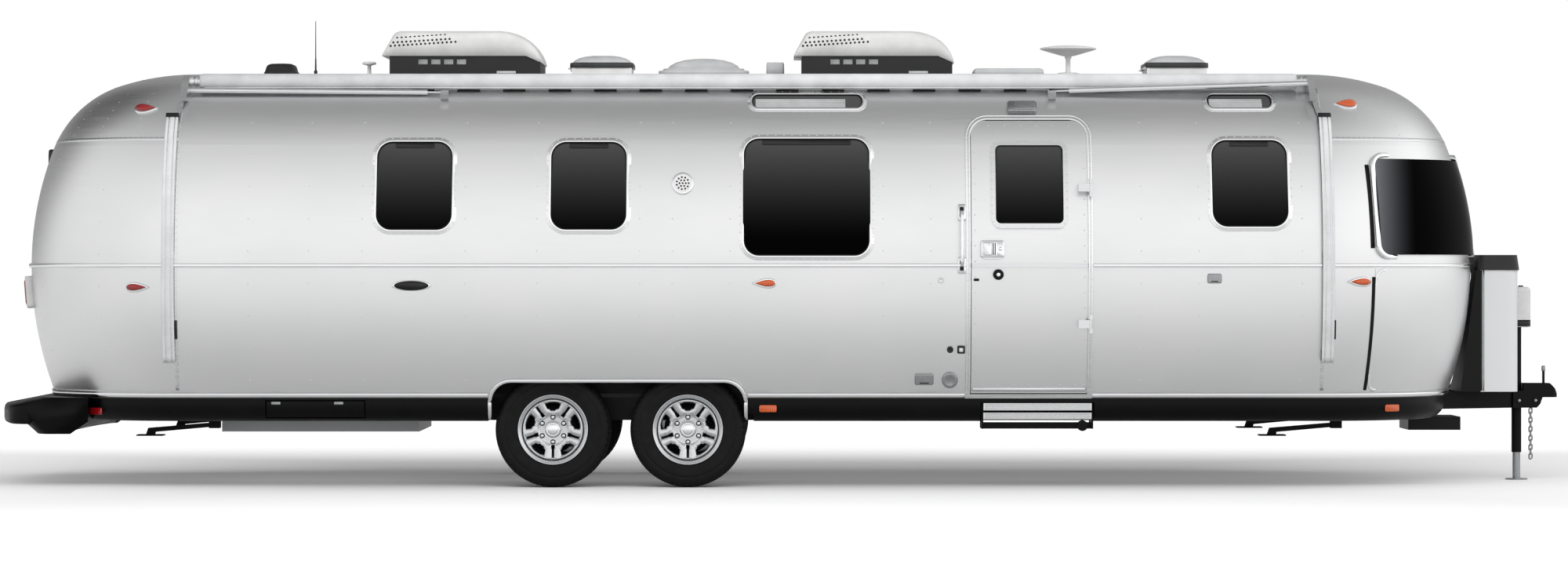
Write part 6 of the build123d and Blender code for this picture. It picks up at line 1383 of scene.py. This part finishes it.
class CARAVAN_OT_underside(bpy.types.Operator):
    """Add the bowed bumper, the arch legs, the step's ribs and the hatch's latches"""

    bl_idname = "caravan.underside"
    bl_label = "Underside"

    def execute(self, context):
        trim, ribs, latches = Pile(), Pile(), Pile()
        leg = ((-0.012, -0.004), (-0.012, 0.006), (-0.008, 0.009), (0.008, 0.009), (0.012, 0.006),
               (0.012, -0.004))
        bend = np.linspace(0, np.radians(58), 10)
        drop = np.concatenate([[0.574, 0.550], LEG_BEND_Z - LEG_BEND * np.sin(bend)])
        inset = np.concatenate([[0.0, 0.0], LEG_BEND * (1 - np.cos(bend))])
        lean = np.concatenate([[0.0, 0.0], bend])
        for side in (RIGHT, LEFT):
            for x in (ARCH_LOW.x + 0.012, ARCH_HIGH.x - 0.012):
                path = np.column_stack([np.full(12, x), side * (HALF_WIDTH - WRAP_INWARD - inset), drop])
                normals = np.column_stack([np.zeros(12), side * np.cos(lean), -np.sin(lean)])
                trim.add(*strip(path, normals, leg))
        trim.piece("arch_legs", "bead", "aluminium_trim")
        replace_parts(new_piece("bowed_bumper", *self.bowed_bumper(), "wrap", "black_wrap"), "bumper")
        low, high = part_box("step_treads")
        for base, back, thick in ((0.490, 0.0, 0.044), (0.434, 0.018, 0.040)):
            for level in (0.2, 0.5, 0.8):
                bar = rounded_outline(high.x - low.x - 0.012, 0.006, 0.002, 2)
                centre = ((low.x + high.x) / 2, low.y + back, base + level * thick)
                ribs.add(*plate(centre, ALONG, UP, bar, ((1, -0.002), (1, 0.0015), (0.999, 0.003))))
        ribs.piece("step_ribs", "rivet", "aluminium_trim")
        low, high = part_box("belly_hatch")
        for x in (low.x + 0.06, high.x - 0.16):
            centre = (x, WRAP_INWARD - HALF_WIDTH, 0.5345)
            catch = rounded_outline(0.060, 0.020, 0.005, 3)
            latches.add(*plate(centre, ALONG, UP, catch, ((1, -0.003), (1, 0.004), (0.9, 0.007))))
        latches.piece("hatch_latches", "zinc", "bright_steel", "hatch")
        return {"FINISHED"}

    @staticmethod
    def bowed_bumper():
        """The rear bumper: one upright profile carried across, its tail set in along an arc.

        The tail's set-in at y is R - sqrt(R * R - y * y), and near each end that of a small circle is added.
        """
        low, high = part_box("bumper")
        across = high.y * np.sin(np.linspace(-np.pi / 2, np.pi / 2, 41))
        bow = BOW_RADIUS - np.sqrt(BOW_RADIUS ** 2 - across ** 2)
        near = np.clip((np.abs(across) - high.y + BUMPER_END) / BUMPER_END, 0, 1)
        tail = low.x + bow + BUMPER_END * (1 - np.sqrt(1 - near ** 2))
        share, level = np.array(BUMPER_PROFILE).T
        reach = high.x - tail[:, None]
        points = np.stack(np.broadcast_arrays(tail[:, None] + share * reach, across[:, None],
                                              low.z + level * (high.z - low.z)), axis=-1)
        return points.reshape(-1, 3), stacked(len(across), len(share))


# Stage

# Glow of the floor from 9 m before the caravan to 9 m behind it, white far out and raised under the caravan
# as painted light that lifts its shadow; level of the sky by the sine of its elevation, and where the sky is
# dimmest
FLOOR_WHITE_AND_UNDERBODY_LIGHT = ((0.0, 0.50), (0.10, 0.45), (0.367, 0.10), (0.428, 0.02), (0.45, 0.02), (0.494, 0.20),
              (0.533, 0.17), (0.572, 0.0), (0.64, 0.03), (0.78, 0.42), (1.0, 0.5))
SKY_LEVELS = ((0.0, 1.18), (0.36, 1.20), (0.56, 0.98), (0.69, 0.70), (0.89, 0.54), (0.99, 0.36), (1.0, 0.30))
SKY_DIM = (-0.60, 0.50, 0.62)


def levels(tree, value, stops):
    """A grey that runs through (position, level) stops along a value."""
    ramp = add_node(tree, "ShaderNodeValToRGB", [(value, "Fac")])
    elements = ramp.color_ramp.elements
    while len(elements) < len(stops):
        elements.new(0.5)
    for element, (place, level) in zip(elements, stops):
        element.position = place
        element.color = (level, level, level, 1.0)
    return ramp


def seen_clear(tree):
    """The ray's kinds, and one for a ray that the camera sends itself or through glass."""
    path = add_node(tree, "ShaderNodeLightPath")
    rays = [(path.outputs["Is Camera Ray"], 0), (path.outputs["Is Transmission Ray"], 1)]
    return path, add_node(tree, "ShaderNodeMath", rays, operation="MAXIMUM")


def area_light(name, place, aim, size, power):
    """A rectangular lamp at a place, turned to face a point."""
    data = bpy.data.lights.new(name, "AREA")
    data.shape = "RECTANGLE"
    data.size, data.size_y = size
    data.energy = power
    lamp = bpy.data.objects.new(name, data)
    lamp.location = place
    direction = Vector(aim) - Vector(place)
    lamp.rotation_euler = direction.to_track_quat("-Z", "Y").to_euler()
    bpy.context.scene.collection.objects.link(lamp)
    return lamp


class CaravanStage(bpy.types.PropertyGroup):
    """Camera, floor and light"""

    distance: bpy.props.FloatProperty(name="Camera distance", description="From the middle to the camera",
                                      default=29.29, unit="LENGTH")
    eye: bpy.props.FloatProperty(name="Eye height", description="Height of the camera", default=1.404,
                                 unit="LENGTH")
    lens: bpy.props.FloatProperty(name="Lens", description="Focal length on a 36 mm sensor", default=102.6)
    drop: bpy.props.FloatProperty(name="Shift", description="Downward shift of the view", default=-0.0165)
    floor: bpy.props.FloatProperty(name="Floor half size", description="Half the floor's side", default=60.0,
                                   unit="LENGTH")
    glow: bpy.props.FloatProperty(name="Floor glow", description="Share of white added to the floor",
                                  default=0.45)


class CARAVAN_OT_stage(bpy.types.Operator):
    """Set the floor, the light and the camera"""

    bl_idname = "caravan.stage"
    bl_label = "Set the stage"

    def execute(self, context):
        scene = context.scene
        stage = scene.caravan_stage
        half = stage.floor
        corners = np.array([[-half, -half, 0], [half, -half, 0], [half, half, 0], [-half, half, 0]])
        mesh = bpy.data.meshes.new("studio_floor")
        mesh.from_pydata(corners.tolist(), [], [[0, 1, 2, 3]])
        mesh.materials.append(self.floor_paint(stage.glow))
        floor = bpy.data.objects.new("studio_floor", mesh)
        scene.collection.objects.link(floor)
        self.sky(scene)
        lamp = area_light("overhead_lamp", (0.0, -10.0, 9.5), (0.0, 0.0, 0.5), (18.0, 8.0), 760.0)
        lamp.visible_glossy = False
        data = bpy.data.cameras.new("camera")
        data.lens = stage.lens
        data.shift_y = stage.drop
        data.clip_end = 200.0
        camera = bpy.data.objects.new("camera", data)
        camera.location = (0.0, -stage.distance, stage.eye)
        camera.rotation_euler = (np.pi / 2, 0.0, 0.0)
        scene.collection.objects.link(camera)
        scene.camera = camera
        scene.view_settings.view_transform = "Standard"
        return {"FINISHED"}

    @staticmethod
    def floor_paint(glow):
        """White studio floor: matt paint, white to the camera and through glass, pale grey to other rays.

        A glow that camera, metal and glass all see makes up for the lamp's fall-off farther out; under the
        caravan it is painted light that lifts the shadow.
        """
        material, shader, tree = surface("white_studio_floor", "#F6F6F6", roughness=0.9)
        split = position(tree)
        run = add_node(tree, "ShaderNodeMapRange", [(split.outputs["Y"], "Value")], From_Min=-9.0,
                       From_Max=9.0)
        # Painted light: the glow rises under the caravan and lifts its shadow there
        across = levels(tree, run.outputs["Result"], FLOOR_WHITE_AND_UNDERBODY_LIGHT)
        ahead = add_node(tree, "ShaderNodeMath", [(split.outputs["X"], 0)], operation="ABSOLUTE")
        beyond = add_node(tree, "ShaderNodeMapRange", [(ahead.outputs[0], "Value")], From_Min=2.6,
                          From_Max=8.6, To_Max=glow)
        far = add_node(tree, "ShaderNodeMath", [(across.outputs["Color"], 0), (beyond.outputs["Result"], 1)],
                       operation="MAXIMUM")
        path, clear = seen_clear(tree)
        direct = add_node(tree, "ShaderNodeMath", [(clear.outputs[0], 0), (path.outputs["Is Glossy Ray"], 1)],
                          operation="MAXIMUM")
        seen = add_node(tree, "ShaderNodeMix", [(clear.outputs[0], "Factor")], data_type="RGBA")
        seen.inputs[6].default_value = srgb("#BFBFBF")
        seen.inputs[7].default_value = srgb("#F6F6F6")
        tree.links.new(seen.outputs[2], shader.inputs["Base Color"])
        strength = add_node(tree, "ShaderNodeMath", [(far.outputs[0], 0), (direct.outputs[0], 1)],
                            operation="MULTIPLY")
        shader.inputs["Emission Color"].default_value = (1.0, 1.0, 1.0, 1.0)
        tree.links.new(strength.outputs[0], shader.inputs["Emission Strength"])
        return material

    @staticmethod
    def sky(scene):
        """Soft dome: white round the horizon, greyer overhead, dim at the left rear, white to the camera."""
        world = bpy.data.worlds.new("studio_dome")
        scene.world = world
        world.use_nodes = True
        tree = world.node_tree
        background = tree.nodes["Background"]
        place = add_node(tree, "ShaderNodeTexCoord")
        split = add_node(tree, "ShaderNodeSeparateXYZ", [(place.outputs["Generated"], "Vector")])
        ramp = levels(tree, split.outputs["Z"], SKY_LEVELS)
        toward = add_node(tree, "ShaderNodeVectorMath", [(place.outputs["Generated"], 0)],
                          operation="DOT_PRODUCT")
        toward.inputs[1].default_value = SKY_DIM
        dim = add_node(tree, "ShaderNodeMapRange", [(toward.outputs["Value"], "Value")],
                       interpolation_type="SMOOTHSTEP", From_Min=0.80, From_Max=0.99, To_Min=1.0, To_Max=0.2)
        back = add_node(tree, "ShaderNodeMapRange", [(split.outputs["Y"], "Value")],
                        interpolation_type="SMOOTHSTEP", From_Min=0.2, From_Max=0.9, To_Min=1.0, To_Max=0.3)
        nose = add_node(tree, "ShaderNodeMapRange", [(split.outputs["X"], "Value")], From_Min=-1.0,
                        To_Min=0.82, To_Max=1.18)
        shade = ramp.outputs["Color"]
        for factor in (dim, back, nose):
            product = add_node(tree, "ShaderNodeVectorMath", [(shade, 0), (factor.outputs["Result"], 1)],
                               operation="MULTIPLY")
            shade = product.outputs["Vector"]
        _, clear = seen_clear(tree)
        blend = add_node(tree, "ShaderNodeMix", [(clear.outputs[0], "Factor"), (shade, 6)], data_type="RGBA")
        blend.inputs[7].default_value = (1.0, 1.0, 1.0, 1.0)
        tree.links.new(blend.outputs[2], background.inputs["Color"])
        background.inputs["Strength"].default_value = 1.0


class CARAVAN_PT_panel(bpy.types.Panel):
    """The caravan's pieces"""

    bl_label = "Travel caravan"
    bl_space_type = "VIEW_3D"
    bl_region_type = "UI"
    bl_category = "Caravan"

    def draw(self, context):
        for step in STEPS:
            self.layout.operator(step.bl_idname)


STEPS = (CARAVAN_OT_solids, CARAVAN_OT_rivets, CARAVAN_OT_rails, CARAVAN_OT_windows, CARAVAN_OT_door,
         CARAVAN_OT_wheels, CARAVAN_OT_coolers, CARAVAN_OT_roof, CARAVAN_OT_awning, CARAVAN_OT_lamps,
         CARAVAN_OT_fittings, CARAVAN_OT_tongue, CARAVAN_OT_underside, CARAVAN_OT_stage)
CLASSES = (CaravanSkin, CaravanWheels, CaravanStage, *STEPS, CARAVAN_PT_panel)


def register():
    """Register the classes and hang the settings on the scene."""
    for part in CLASSES:
        bpy.utils.register_class(part)
    bpy.types.Scene.caravan_skin = bpy.props.PointerProperty(type=CaravanSkin)
    bpy.types.Scene.caravan_wheels = bpy.props.PointerProperty(type=CaravanWheels)
    bpy.types.Scene.caravan_stage = bpy.props.PointerProperty(type=CaravanStage)


def unregister():
    """Take the settings and the classes away again."""
    del bpy.types.Scene.caravan_skin
    del bpy.types.Scene.caravan_wheels
    del bpy.types.Scene.caravan_stage
    for part in reversed(CLASSES):
        bpy.utils.unregister_class(part)


def main():
    """Make every piece in order."""
    register()
    for step in STEPS:
        group, name = step.bl_idname.split(".")
        getattr(getattr(bpy.ops, group), name)()


if __name__ == "__main__":
    main()
